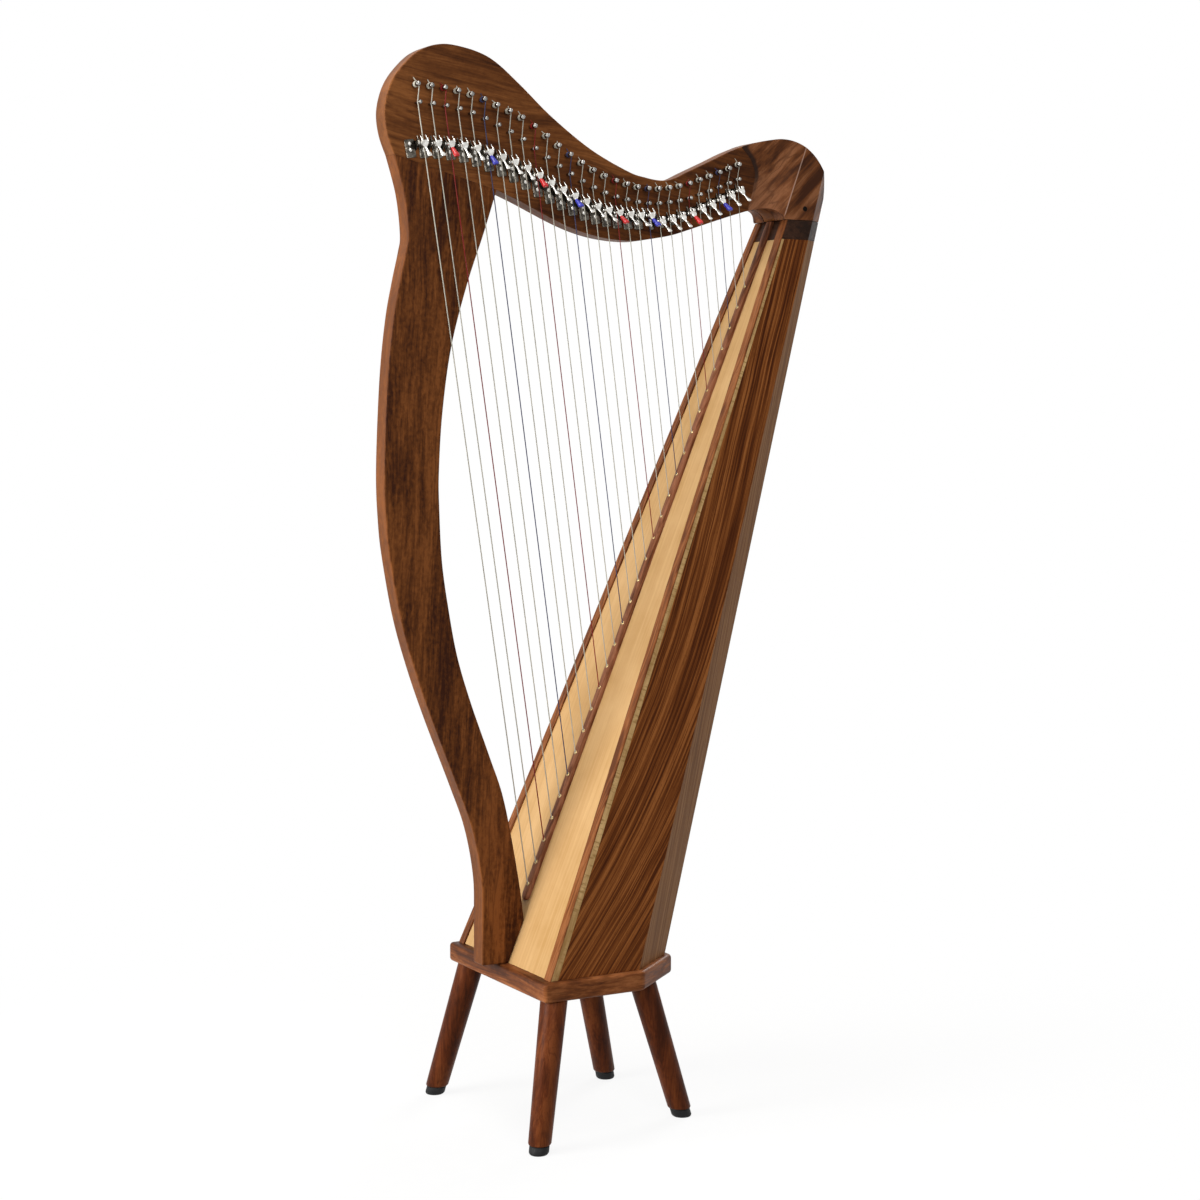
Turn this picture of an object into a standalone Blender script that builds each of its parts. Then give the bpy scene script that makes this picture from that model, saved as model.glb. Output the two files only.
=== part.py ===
"""Lever harp with 29 strings, standing on a footed base plate.

Units are metres and +Z is up. The frame of the values below has X = 0 at the front
edge of the base plate, +X towards the player, Y = 0 in the string plane and Z = 0 on
the floor. The player's left hand is on the -Y side, where strings and levers lie.
"""

import math

import bmesh
import bpy
from mathutils import Matrix, Vector

GAP = 0.0003
OVERLAP = 0.0005

BASE_SIDE_OVERHANG = 0.0077
BASE_BACK_OVERHANG = 0.0087
BASE_CORNER_OVERHANG = 0.0023
BASE_THICKNESS = 0.0236
BASE_EDGE_ROUND = 0.004

LEG_HEIGHT = 0.1699
LEG_TOP_RADIUS = 0.016
LEG_FOOT_RADIUS = 0.0135
LEG_SIDES = 16
FRONT_LEG_INSET = 0.0223
FRONT_LEG_SIDE_INSET = 0.0194
FRONT_LEG_SPLAY = (-0.0374, 0.0314)
BACK_LEG_INSET = 0.0464
BACK_LEG_SIDE_INSET = 0.0322
BACK_LEG_SPLAY = (0.0442, 0.0224)
STUD_RADIUS = 0.005
STUD_LENGTH = 0.014
RUBBER_HEIGHT = 0.010
RUBBER_RADIUS = 0.0117
RUBBER_TREAD_RADIUS = 0.0098

BOARD_ANGLE = math.radians(67.02)
BOARD_LENGTH = 0.9738
BOARD_SETBACK = 0.0097
BOX_FOOT_HALF_WIDTH = 0.1197
BOX_TOP_HALF_WIDTH = 0.0354
BOX_FOOT_SIDE_DEPTH = 0.1205
BOX_TOP_SIDE_DEPTH = 0.0395
BOX_FOOT_BACK_DEPTH = 0.1896
BOX_TOP_BACK_DEPTH = 0.0590
FACET_ANGLE = math.radians(39.2)
WALL = 0.004
BOARD_THICKNESS = 0.004
TRIM_THICKNESS = 0.002
TRIM_WIDTH = 0.0135
LINER_WIDTH = 0.006
LINER_FOOT_DEPTH = 0.0080
LINER_TOP_DEPTH = 0.0028
END_BLOCK_HEIGHT = 0.024
END_SPIGOT_LENGTH = 0.032
TOE_BLOCK_HEIGHT = 0.060
TOE_BLOCK_DEPTH = 0.045
TOE_BLOCK_HALF_WIDTH = 0.045
BRACE_HEIGHT = 0.018
BRACE_DEPTH = 0.012
BRACE_SETBACK = 0.012
BRACE_LOWER_RISE = 0.290
BRACE_UPPER_RISE = 0.590
SOUND_HOLE_RISES = (0.120, 0.330, 0.520, 0.690)
SOUND_HOLE_FILL = 0.62
SOUND_HOLE_STRETCH = 1.7
SOUND_HOLE_SIDES = 20

RIB_FOOT_WIDTH = 0.014
RIB_TOP_WIDTH = 0.0105
RIB_PROUD = 0.005
RIB_START = 0.078
RIB_ROUND = 0.0015
INNER_RIB_WIDTH = 0.016
INNER_RIB_THICKNESS = 0.006
INNER_RIB_OVERRUN = 0.012

TIMBER_THICKNESS = 0.025
TIMBER_ROUND = 0.0018
TRIM_ROUND = 0.0010
FOOT_OVERHANG = 0.0325
PILLAR_SEAT_LENGTH = 0.054
# Pillar edges: share of the rise from foot to joint, and reach from the straight line.
PILLAR_FRONT = (
    (0.000, 0.0000), (0.060, 0.0068), (0.112, 0.0112), (0.173, 0.0066), (0.230, -0.0072),
    (0.313, -0.0298), (0.376, -0.0446), (0.440, -0.0555), (0.512, -0.0607), (0.558, -0.0608),
    (0.623, -0.0557), (0.731, -0.0390), (0.803, -0.0236), (0.850, -0.0098), (0.885, 0.0018),
    (0.907, 0.0071), (0.954, 0.0072), (1.000, 0.0000),
)
PILLAR_INNER = (
    (0.000, 0.0000), (0.044, -0.0032), (0.118, -0.0123), (0.180, -0.0224), (0.234, -0.0376),
    (0.311, -0.0598), (0.373, -0.0744), (0.437, -0.0832), (0.502, -0.0892), (0.576, -0.0899),
    (0.622, -0.0885), (0.701, -0.0811), (0.789, -0.0664), (0.873, -0.0429), (0.942, -0.0188),
    (1.000, 0.0000),
)
# Neck edges, measured from the shoulder point, where the board meets the joint plane.
JOINT_FRONT = (-0.5208, 0.053)
JOINT_INNER = (-0.390, 0.019)
NECK_BOTTOM = (
    JOINT_INNER, (-0.360, 0.0075), (-0.338, -0.0019), (-0.309, -0.0141), (-0.283, -0.0231),
    (-0.257, -0.0292), (-0.231, -0.0323), (-0.205, -0.0328), (-0.186, -0.0302),
    (-0.153, -0.0241), (-0.126, -0.0159), (-0.098, -0.0068), (-0.067, 0.0030), (-0.045, 0.0096),
    (-0.030, 0.0130), (-0.019, 0.0138), (-0.010, 0.0108), (-0.0045, 0.0058), (-0.0018, 0.0003),
)
NECK_TOP = (
    JOINT_FRONT, (-0.5292, 0.075), (-0.5325, 0.099), (-0.5282, 0.122), (-0.5185, 0.142),
    (-0.501, 0.162), (-0.486, 0.173), (-0.467, 0.180), (-0.446, 0.1815), (-0.414, 0.176),
    (-0.389, 0.165), (-0.356, 0.140), (-0.317, 0.108), (-0.264, 0.073), (-0.213, 0.050),
    (-0.189, 0.044), (-0.168, 0.0415), (-0.151, 0.044), (-0.129, 0.054), (-0.096, 0.069),
    (-0.068, 0.082), (-0.038, 0.0928), (-0.007, 0.0992), (0.009, 0.0998), (0.023, 0.0968),
    (0.036, 0.0905), (0.0475, 0.0812), (0.0565, 0.0695), (0.0632, 0.0560), (0.0672, 0.0410),
    (0.0682, 0.0300),
)
# Scooped front of a shoulder cheek: its line on the neck's face, and its outer edge.
SCOOP_INNER = (
    (-0.044, 0.005), (-0.041, 0.020), (-0.037, 0.032), (-0.035, 0.042), (-0.033, 0.057),
    (-0.040, 0.074), (-0.053, 0.087),
)
SCOOP_OUTER_FOOT = (-0.0033, 0.0018)
SCOOP_OUTER_HEAD = (0.0354, 0.0911)
DOWEL_PLACE = (0.0288, 0.0143)
DOWEL_RADIUS = 0.00325
DOWEL_SIDES = 12

STRING_COUNT = 29
SMALL_LEVERS_FROM = 21
FIRST_EYELET = 0.0974
LAST_EYELET_MARGIN = 0.0902
FIRST_PIN_REACH = -0.4936
LAST_PIN_REACH = -0.0624
PIN_PITCH_LOSS = 0.0034
# Rise of the bridge pins over the shoulder point, by string number.
PIN_LINE = (
    (1, 0.1119), (3, 0.1102), (5, 0.1042), (7, 0.0924), (9, 0.0780), (11, 0.0587),
    (13, 0.0414), (15, 0.0270), (17, 0.0177), (20, 0.0120), (23, 0.0173), (26, 0.0311),
    (29, 0.0473),
)
# Rise of the tuning pins over the bridge pins, by string number.
TUNING_RISE = (
    (1, 0.0203), (4, 0.0203), (7, 0.0227), (10, 0.0256), (13, 0.0225), (16, 0.0198),
    (20, 0.0174), (29, 0.0178),
)
TUNING_SIDESTEP = -0.0025
BASS_STRING_RADIUS = 0.00075
TREBLE_STRING_RADIUS = 0.0004
STRING_SIDES = 5
STRING_HOLE = 0.0026
BRIDGE_PIN_RADIUS = 0.00225
BRIDGE_PIN_LENGTH = 0.015
TUNING_PIN_RADIUS = 0.00325
TUNING_PIN_LENGTH = 0.014
TUNING_SQUARE_LENGTH = 0.009
PIN_SIDES = 6
STRING_STANDOFF = 0.0095

PIVOT_STANDOFF = 0.0125
LARGE_DROP_SHARE = 0.0527
LARGE_DROP_OFFSET = -0.0029
SMALL_DROP_SHARE = 0.039
SMALL_DROP_OFFSET = 0.0094
PLATE_THICKNESS = 0.0015
LARGE_PLATE_WIDTH = 0.0155
SMALL_PLATE_WIDTH = 0.0100
PLATE_ABOVE_PIVOT = 0.004
PLATE_BELOW_PIVOT = 0.018
FORK_CENTRE = 0.001
PRONG_THICKNESS = 0.0016
PRONG_SPACING = 0.0066
EAR_THICKNESS = 0.0012
AXLE_RADIUS = 0.0012
LARGE_HANDLE_DROP = 0.014
SMALL_HANDLE_DROP = 0.011
HANDLE_REACH = 0.0105
HANDLE_WIDTH = 0.0046
HANDLE_THICKNESS = 0.0026
PAD_WIDTH = 0.0062

CURVE_STEPS = 3

PAINTS = {
    "rosewood": ((0.16, 0.055, 0.022), 0.38, 0.0),
    "rosewood_dark": ((0.045, 0.022, 0.014), 0.42, 0.0),
    "spruce": ((0.78, 0.56, 0.30), 0.45, 0.0),
    "maple": ((0.72, 0.57, 0.33), 0.50, 0.0),
    "birch": ((0.62, 0.48, 0.30), 0.60, 0.0),
    "nickel": ((0.55, 0.53, 0.50), 0.22, 1.0),
    "nylon": ((0.86, 0.84, 0.78), 0.35, 0.0),
    "rubber": ((0.015, 0.015, 0.015), 0.75, 0.0),
}

BASE_TOP = LEG_HEIGHT + BASE_THICKNESS
FOOT = Vector((BOARD_SETBACK, 0.0, BASE_TOP))
BOARD_UP = Vector((math.cos(BOARD_ANGLE), 0.0, math.sin(BOARD_ANGLE)))
BOARD_OUT = Vector((-math.sin(BOARD_ANGLE), 0.0, math.cos(BOARD_ANGLE)))
SHOULDER = FOOT + BOARD_LENGTH * BOARD_UP
BOX_HEIGHT = SHOULDER.z - BASE_TOP
PANEL_TOP = SHOULDER.z - END_BLOCK_HEIGHT
HALF_TIMBER = TIMBER_THICKNESS / 2
BASE_HALF_WIDTH = BOX_FOOT_HALF_WIDTH + BASE_SIDE_OVERHANG
BASE_DEPTH = BOARD_SETBACK + BOX_FOOT_BACK_DEPTH + BASE_BACK_OVERHANG
BASE_SIDE_LENGTH = BOARD_SETBACK + BOX_FOOT_SIDE_DEPTH + BASE_CORNER_OVERHANG
BASE_BACK_HALF_WIDTH = BASE_HALF_WIDTH - (BASE_DEPTH - BASE_SIDE_LENGTH) * math.tan(FACET_ANGLE)


def clear_scene():
    """Remove every object of the open scene."""
    for item in list(bpy.data.objects):
        bpy.data.objects.remove(item, do_unlink=True)


def paint(name):
    """Return the named material, made once."""
    found = bpy.data.materials.get(name)
    if found is not None:
        return found
    colour, roughness, metallic = PAINTS[name]
    material = bpy.data.materials.new(name)
    material.use_nodes = True
    shader = material.node_tree.nodes["Principled BSDF"]
    shader.inputs["Base Color"].default_value = (*colour, 1.0)
    shader.inputs["Roughness"].default_value = roughness
    shader.inputs["Metallic"].default_value = metallic
    return material


def finish_mesh(name, bm, material, smooth_angle=None):
    """Turn a bmesh into an object with outward faces, and free the bmesh."""
    bmesh.ops.recalc_face_normals(bm, faces=bm.faces)
    mesh = bpy.data.meshes.new(name)
    bm.to_mesh(mesh)
    bm.free()
    mesh.materials.append(paint(material))
    if smooth_angle is not None:
        mesh.shade_smooth()
        mesh.set_sharp_from_angle(angle=math.radians(smooth_angle))
    item = bpy.data.objects.new(name, mesh)
    bpy.context.scene.collection.objects.link(item)
    return item


def loft(rings):
    """Return a closed bmesh through rings of points, with a cap on each end."""
    bm = bmesh.new()
    loops = [[bm.verts.new(point) for point in ring] for ring in rings]
    count = len(loops[0])
    for lower, upper in zip(loops, loops[1:]):
        for i in range(count):
            j = (i + 1) % count
            bm.faces.new((lower[i], lower[j], upper[j], upper[i]))
    bm.faces.new(list(reversed(loops[0])))
    bm.faces.new(loops[-1])
    return bm


def prism(outline, y_from, y_to):
    """Return a bmesh of an (X, Z) outline pulled from one Y to another."""
    return loft([[Vector((x, y, z)) for x, z in outline] for y in (y_from, y_to)])


def smooth_curve(points, steps=CURVE_STEPS):
    """Return points on a Catmull-Rom curve through the given pairs."""
    ends = [points[0], *points, points[-1]]
    curve = []
    for a, b, c, d in zip(ends, ends[1:], ends[2:], ends[3:]):
        for k in range(steps):
            t = k / steps
            curve.append(tuple(
                0.5 * (2 * q + (r - p) * t + (2 * p - 5 * q + 4 * r - s) * t ** 2
                       + (3 * q - p - 3 * r + s) * t ** 3)
                for p, q, r, s in zip(a, b, c, d)
            ))
    curve.append(points[-1])
    return curve


def read_curve(table, place):
    """Read a smooth table of (place, value) pairs at one place."""
    curve = smooth_curve(table)
    for (x0, y0), (x1, y1) in zip(curve, curve[1:]):
        if x0 <= place <= x1:
            return y0 + (y1 - y0) * (place - x0) / (x1 - x0)
    return curve[-1][1]


def ring(centre, along, radius, sides, turn=0.0):
    """Return a circle of points round an axis direction."""
    side = along.orthogonal().normalized()
    if abs(along.normalized().x) < 0.9:
        side = (Vector((1, 0, 0)) - along * (along.x / along.length_squared)).normalized()
    across = along.normalized().cross(side)
    angles = [2 * math.pi * (k + turn) / sides for k in range(sides)]
    return [centre + radius * (math.cos(a) * side + math.sin(a) * across) for a in angles]


def tube(points, radius, sides):
    """Return a bmesh tube along straight runs, mitred at each bend."""
    runs = [(b - a).normalized() for a, b in zip(points, points[1:])]
    rings = []
    for i, point in enumerate(points):
        before = runs[max(i - 1, 0)]
        after = runs[min(i, len(runs) - 1)]
        rings.append(ring(point, (before + after).normalized(), radius, sides))
    return loft(rings)


def block(low, high):
    """Return a bmesh box between two corners."""
    (x0, y0, z0), (x1, y1, z1) = low, high
    return prism(((x0, z0), (x1, z0), (x1, z1), (x0, z1)), y0, y1)


def hide_tool(item):
    """Mark an object as a tool that only shapes others."""
    item.hide_render = True
    item.display_type = "WIRE"
    return item


def combine(item, operation, tools):
    """Join tools to an object or cut them out of it, with one Boolean modifier."""
    group = bpy.data.collections.new(item.name + "_" + operation.lower())
    bpy.context.scene.collection.children.link(group)
    for tool in tools:
        bpy.context.scene.collection.objects.unlink(tool)
        group.objects.link(hide_tool(tool))
    modifier = item.modifiers.new(operation.lower(), "BOOLEAN")
    modifier.operation = operation
    modifier.solver = "EXACT"
    modifier.operand_type = "COLLECTION"
    modifier.collection = group
    return item


def round_edges(item, width, angle=60.0):
    """Round an object's sharp edges with one facet."""
    bevel = item.modifiers.new("round", "BEVEL")
    bevel.width = width
    bevel.segments = 1
    bevel.limit_method = "ANGLE"
    bevel.angle_limit = math.radians(angle)
    return item


def on_board(along, across=0.0, out=0.0):
    """Return a point by its run up the board, its Y and its height off the front plane."""
    return FOOT + along * BOARD_UP + out * BOARD_OUT + Vector((0.0, across, 0.0))


def from_shoulder(pairs):
    """Return (X, Z) pairs for pairs measured from the shoulder point."""
    return [(SHOULDER.x + x, SHOULDER.z + z) for x, z in pairs]


def share(z):
    """Return how far a height lies from the box's foot, 0, to the joint plane, 1."""
    return (z - BASE_TOP) / BOX_HEIGHT


def between(foot, top, z):
    """Return a box size at a height, from its sizes at the foot and at the joint."""
    return foot + (top - foot) * share(z)


def front_x(z):
    """Return X of the front plane at a height."""
    return FOOT.x + (z - BASE_TOP) / math.tan(BOARD_ANGLE)


def half_width(z):
    """Return the box's half width at a height."""
    return between(BOX_FOOT_HALF_WIDTH, BOX_TOP_HALF_WIDTH, z)


def side_x(z):
    """Return X of the corner between side and facet at a height."""
    return front_x(z) + between(BOX_FOOT_SIDE_DEPTH, BOX_TOP_SIDE_DEPTH, z)


def back_x(z):
    """Return X of the box's flat back at a height."""
    return front_x(z) + between(BOX_FOOT_BACK_DEPTH, BOX_TOP_BACK_DEPTH, z)


def back_half_width(z):
    """Return the half width of the flat back at a height."""
    return half_width(z) - (back_x(z) - side_x(z)) * math.tan(FACET_ANGLE)


def level(depth):
    """Return the X run of a depth measured square to the board."""
    return depth / math.sin(BOARD_ANGLE)


BOARD_FACE = level(TRIM_THICKNESS + GAP)
BOARD_BACK = BOARD_FACE + level(BOARD_THICKNESS)


def liner_back(z):
    """Return X of the liner's back at a height, where the side panel begins."""
    return front_x(z) + BOARD_FACE + level(between(LINER_FOOT_DEPTH, LINER_TOP_DEPTH, z))


def wall_corners(z, inset):
    """Return side-to-facet and facet-to-back corners, moved inwards by an inset."""
    side = (side_x(z) - inset * math.tan(FACET_ANGLE / 2), half_width(z) - inset)
    back_y = back_half_width(z) + inset * (math.tan(FACET_ANGLE) - 1 / math.cos(FACET_ANGLE))
    return side, (back_x(z) - inset, back_y)


def panel(name, section, material, z_from, z_to, mirrored=False):
    """Build a wall panel whose plan section is a function of height."""
    sign = 1 if mirrored else -1
    rings = [[Vector((x, sign * y, z)) for x, y in section(z)] for z in (z_from, z_to)]
    return finish_mesh(name, loft(rings), material)


def shortened(a, b, trim=0.6 * GAP):
    """Return two plan points moved towards each other by a trim."""
    run = (Vector(b) - Vector(a)).normalized() * trim
    return tuple(Vector(a) + run), tuple(Vector(b) - run)


def side_section(z):
    """Plan section of a side panel."""
    front = liner_back(z) + GAP
    outer, _ = wall_corners(z, 0.0)
    inner, _ = wall_corners(z, WALL)
    return (
        (front, outer[1]), (outer[0] - 0.6 * GAP, outer[1]),
        (inner[0] - 0.6 * GAP, inner[1]), (front, inner[1]),
    )


def facet_section(z):
    """Plan section of a back facet panel."""
    outer = shortened(*wall_corners(z, 0.0))
    inner = shortened(*wall_corners(z, WALL))
    return (outer[0], outer[1], inner[1], inner[0])


def back_section(z):
    """Plan section of the flat back panel."""
    _, outer = wall_corners(z, 0.0)
    _, inner = wall_corners(z, WALL)
    trim = 0.6 * GAP
    return (
        (outer[0], outer[1] - trim), (outer[0], trim - outer[1]),
        (inner[0], trim - inner[1]), (inner[0], inner[1] - trim),
    )


def liner_section(z):
    """Plan section of the strip that backs the board's long edge."""
    face = front_x(z) + BOARD_FACE
    back = liner_back(z)
    outer = half_width(z)
    return ((face, outer), (back, outer), (back, outer - LINER_WIDTH), (face, outer - LINER_WIDTH))


def board_section(z):
    """Plan section of the soundboard."""
    face = front_x(z) + BOARD_FACE
    back = front_x(z) + BOARD_BACK
    edge = half_width(z) - LINER_WIDTH - GAP
    return ((face, edge), (back, edge), (back, -edge), (face, -edge))


def trim_section(z):
    """Plan section of the dark strip on the board's front edge."""
    front = front_x(z)
    outer = half_width(z)
    return (
        (front, outer - TRIM_ROUND), (front + level(TRIM_ROUND), outer),
        (front + level(TRIM_THICKNESS), outer),
        (front + level(TRIM_THICKNESS), outer - TRIM_WIDTH), (front, outer - TRIM_WIDTH),
    )


def build_base():
    """Build the base plate with its stud holes."""
    outline = (
        (0.0, BASE_HALF_WIDTH), (BASE_SIDE_LENGTH, BASE_HALF_WIDTH),
        (BASE_DEPTH, BASE_BACK_HALF_WIDTH),
    )
    outline = [*outline, *((x, -y) for x, y in reversed(outline))]
    rings = [[Vector((x, y, z)) for x, y in outline] for z in (LEG_HEIGHT, BASE_TOP)]
    plate = finish_mesh("base_plate", loft(rings), "rosewood")
    round_edges(plate, BASE_EDGE_ROUND, 30.0)
    cutters = []
    for name, top, lean in leg_places():
        axis = stud_axis(top, lean)
        points = (top - axis * STUD_LENGTH, top + axis * (STUD_LENGTH + 2 * GAP))
        bm = tube(points, STUD_RADIUS + GAP, LEG_SIDES)
        cutters.append(finish_mesh("hole_" + name, bm, "rosewood"))
    combine(plate, "DIFFERENCE", cutters)


def leg_places():
    """Return name, top centre and floor offset of each leg."""
    places = []
    back_inset = BASE_DEPTH - BACK_LEG_INSET
    canted = max(back_inset - BASE_SIDE_LENGTH, 0.0) * math.tan(FACET_ANGLE)
    front_stance = BASE_HALF_WIDTH - FRONT_LEG_SIDE_INSET
    back_stance = BASE_HALF_WIDTH - canted - BACK_LEG_SIDE_INSET
    for side, sign in (("left", -1), ("right", 1)):
        top = Vector((FRONT_LEG_INSET, sign * front_stance, LEG_HEIGHT))
        lean = Vector((FRONT_LEG_SPLAY[0], sign * FRONT_LEG_SPLAY[1], -LEG_HEIGHT))
        places.append(("front_" + side, top, lean))
        top = Vector((back_inset, sign * back_stance, LEG_HEIGHT))
        lean = Vector((BACK_LEG_SPLAY[0], sign * BACK_LEG_SPLAY[1], -LEG_HEIGHT))
        places.append(("back_" + side, top, lean))
    return places


def stud_axis(top, lean):
    """Return the upward direction of a leg."""
    return -lean.normalized()


def level_ring(top, lean, z, radius):
    """Return the level slice of a leaning round bar at a height."""
    centre = top + lean * ((LEG_HEIGHT - z) / LEG_HEIGHT)
    flat = Vector((lean.x, lean.y, 0.0))
    stretch = lean.length / LEG_HEIGHT
    along = flat.normalized()
    across = Vector((-along.y, along.x, 0.0))
    angles = [2 * math.pi * k / LEG_SIDES for k in range(LEG_SIDES)]
    return [
        centre + radius * (stretch * math.cos(a) * along + math.sin(a) * across) for a in angles
    ]


def build_legs():
    """Build the four splayed legs and their rubber feet."""
    for name, top, lean in leg_places():
        foot_z = RUBBER_HEIGHT + GAP
        seat_z = LEG_HEIGHT - GAP
        chamfer = 0.15 * LEG_FOOT_RADIUS
        rings = [
            level_ring(top, lean, foot_z, LEG_FOOT_RADIUS - chamfer),
            level_ring(top, lean, foot_z + chamfer, LEG_FOOT_RADIUS),
            level_ring(top, lean, seat_z, LEG_TOP_RADIUS),
            level_ring(top, lean, seat_z, STUD_RADIUS),
            level_ring(top, lean, LEG_HEIGHT + STUD_LENGTH * 0.9, STUD_RADIUS),
        ]
        finish_mesh("leg_" + name, loft(rings), "rosewood", 40.0)
        rings = [
            level_ring(top, lean, 0.0, RUBBER_TREAD_RADIUS),
            level_ring(top, lean, 0.25 * RUBBER_HEIGHT, RUBBER_RADIUS),
            level_ring(top, lean, RUBBER_HEIGHT, RUBBER_RADIUS),
        ]
        finish_mesh("rubber_foot_" + name, loft(rings), "rubber", 40.0)


def build_soundbox():
    """Build the walls, the board and what holds them together inside."""
    foot = BASE_TOP + GAP
    top = PANEL_TOP - GAP
    for side, mirrored in (("left", False), ("right", True)):
        panel("side_panel_" + side, side_section, "rosewood", foot, top, mirrored)
        panel("facet_panel_" + side, facet_section, "rosewood", foot, top, mirrored)
        panel("board_liner_" + side, liner_section, "maple", foot, top, mirrored)
        panel("edge_trim_" + side, trim_section, "rosewood", foot, SHOULDER.z - GAP, mirrored)
    board = panel("soundboard", board_section, "spruce", foot, top)
    combine(board, "DIFFERENCE", [string_holes("board_holes")])
    back = panel("back_panel", back_section, "rosewood", foot, top)
    combine(back, "DIFFERENCE", [sound_hole(i, rise) for i, rise in enumerate(SOUND_HOLE_RISES)])
    build_braces()
    build_toe_block()
    build_end_block()


def sound_hole(number, rise):
    """Return the cutter of one oval sound hole."""
    z = BASE_TOP + rise
    radius = SOUND_HOLE_FILL * back_half_width(z)
    angles = [2 * math.pi * k / SOUND_HOLE_SIDES for k in range(SOUND_HOLE_SIDES)]
    oval = [(radius * math.cos(a), SOUND_HOLE_STRETCH * radius * math.sin(a)) for a in angles]
    reach = SOUND_HOLE_STRETCH * radius
    rings = [
        [Vector((x, y, z + rise_z)) for y, rise_z in oval]
        for x in (back_x(z) - 4 * WALL - reach, back_x(z) + 4 * WALL + reach)
    ]
    return finish_mesh("sound_hole_%d" % number, loft(rings), "rosewood")


def string_holes(name):
    """Return one cutter of square holes where the strings pass the board."""
    bm = bmesh.new()
    half = STRING_HOLE / 2
    deep = -(TRIM_THICKNESS + BOARD_THICKNESS + INNER_RIB_THICKNESS)
    for number in range(1, STRING_COUNT + 1):
        along = eyelet_run(number)
        corners = [
            [on_board(along + a * half, b * half, out) for a, b in ((-1, -1), (1, -1), (1, 1), (-1, 1))]
            for out in (deep, RIB_PROUD + TRIM_THICKNESS)
        ]
        lower = [bm.verts.new(p) for p in corners[0]]
        upper = [bm.verts.new(p) for p in corners[1]]
        for i in range(4):
            bm.faces.new((lower[i], lower[(i + 1) % 4], upper[(i + 1) % 4], upper[i]))
        bm.faces.new(list(reversed(lower)))
        bm.faces.new(upper)
    return finish_mesh(name, bm, "maple")


def build_braces():
    """Build the two braces that hold the sides apart."""
    for name, rise in (("lower", BRACE_LOWER_RISE), ("upper", BRACE_UPPER_RISE)):
        z = BASE_TOP + rise

        def section(at):
            back = side_x(at) - BRACE_SETBACK
            edge = half_width(at) - WALL - GAP
            front = back - BRACE_DEPTH
            return ((front, edge), (back, edge), (back, -edge), (front, -edge))

        panel("cross_brace_" + name, section, "birch", z, z + BRACE_HEIGHT)


def build_toe_block():
    """Build the block inside the box that the pillar is fastened to."""
    foot = BASE_TOP + GAP
    top = foot + TOE_BLOCK_HEIGHT

    def section(at):
        front = front_x(at) + BOARD_BACK + GAP
        back = front_x(foot) + BOARD_BACK + TOE_BLOCK_DEPTH
        return (
            (front, TOE_BLOCK_HALF_WIDTH), (back, TOE_BLOCK_HALF_WIDTH),
            (back, -TOE_BLOCK_HALF_WIDTH), (front, -TOE_BLOCK_HALF_WIDTH),
        )

    panel("toe_block", section, "birch", foot, top)


def build_end_block():
    """Build the block that closes the box under the shoulder, with its spigot."""

    def outline(z, front, inset):
        side, back = wall_corners(z, inset)
        half = [(front_x(z) + front, half_width(z) - inset), side, back]
        full = [*half, *((x, -y) for x, y in reversed(half))]
        return [Vector((x, y, z)) for x, y in full]

    front_inset = BOARD_BACK + GAP
    liner_inset = LINER_WIDTH + GAP
    spigot_foot = PANEL_TOP - END_SPIGOT_LENGTH
    rings = [
        outline(spigot_foot, front_inset, liner_inset),
        outline(PANEL_TOP, front_inset, liner_inset),
        outline(PANEL_TOP, BOARD_FACE, 0.0),
        outline(SHOULDER.z - GAP, BOARD_FACE, 0.0),
    ]
    finish_mesh("end_block", loft(rings), "rosewood_dark")


def rib_width(along):
    """Return the rib's width at a run up the board."""
    return RIB_FOOT_WIDTH + (RIB_TOP_WIDTH - RIB_FOOT_WIDTH) * along / BOARD_LENGTH


def build_rib():
    """Build the string rib on the board's face, with its rounded lower end."""
    low = -TRIM_THICKNESS
    high = RIB_PROUD - TRIM_THICKNESS
    end_run = BOARD_LENGTH - GAP / math.sin(BOARD_ANGLE)
    nose = RIB_FOOT_WIDTH / 2
    stations = [(RIB_START + nose * (1 - math.cos(a)), math.sin(a)) for a in
                (math.radians(d) for d in (25, 50, 90))]
    rings = []
    for along, fill in (*stations, (end_run, 1.0)):
        half = fill * rib_width(along) / 2
        shoulder = max(half - RIB_ROUND, 0.5 * half)
        lift = low + (high - low) * (0.55 + 0.45 * fill)
        slope = 0.0 if along < end_run else 1.0 / math.tan(BOARD_ANGLE)
        rings.append([
            on_board(along - slope * out, across, out) for across, out in (
                (-half, low), (half, low), (half, lift - RIB_ROUND), (shoulder, lift),
                (-shoulder, lift), (-half, lift - RIB_ROUND),
            )
        ])
    rib = finish_mesh("string_rib", loft(rings), "rosewood")
    combine(rib, "DIFFERENCE", [string_holes("rib_holes")])


def pillar_edge(start, end, shape):
    """Return a pillar edge from its ends and its shape about their straight line."""
    return [
        (start[0] + (end[0] - start[0]) * t + reach, start[1] + (end[1] - start[1]) * t)
        for t, reach in smooth_curve(shape)
    ]


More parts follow.
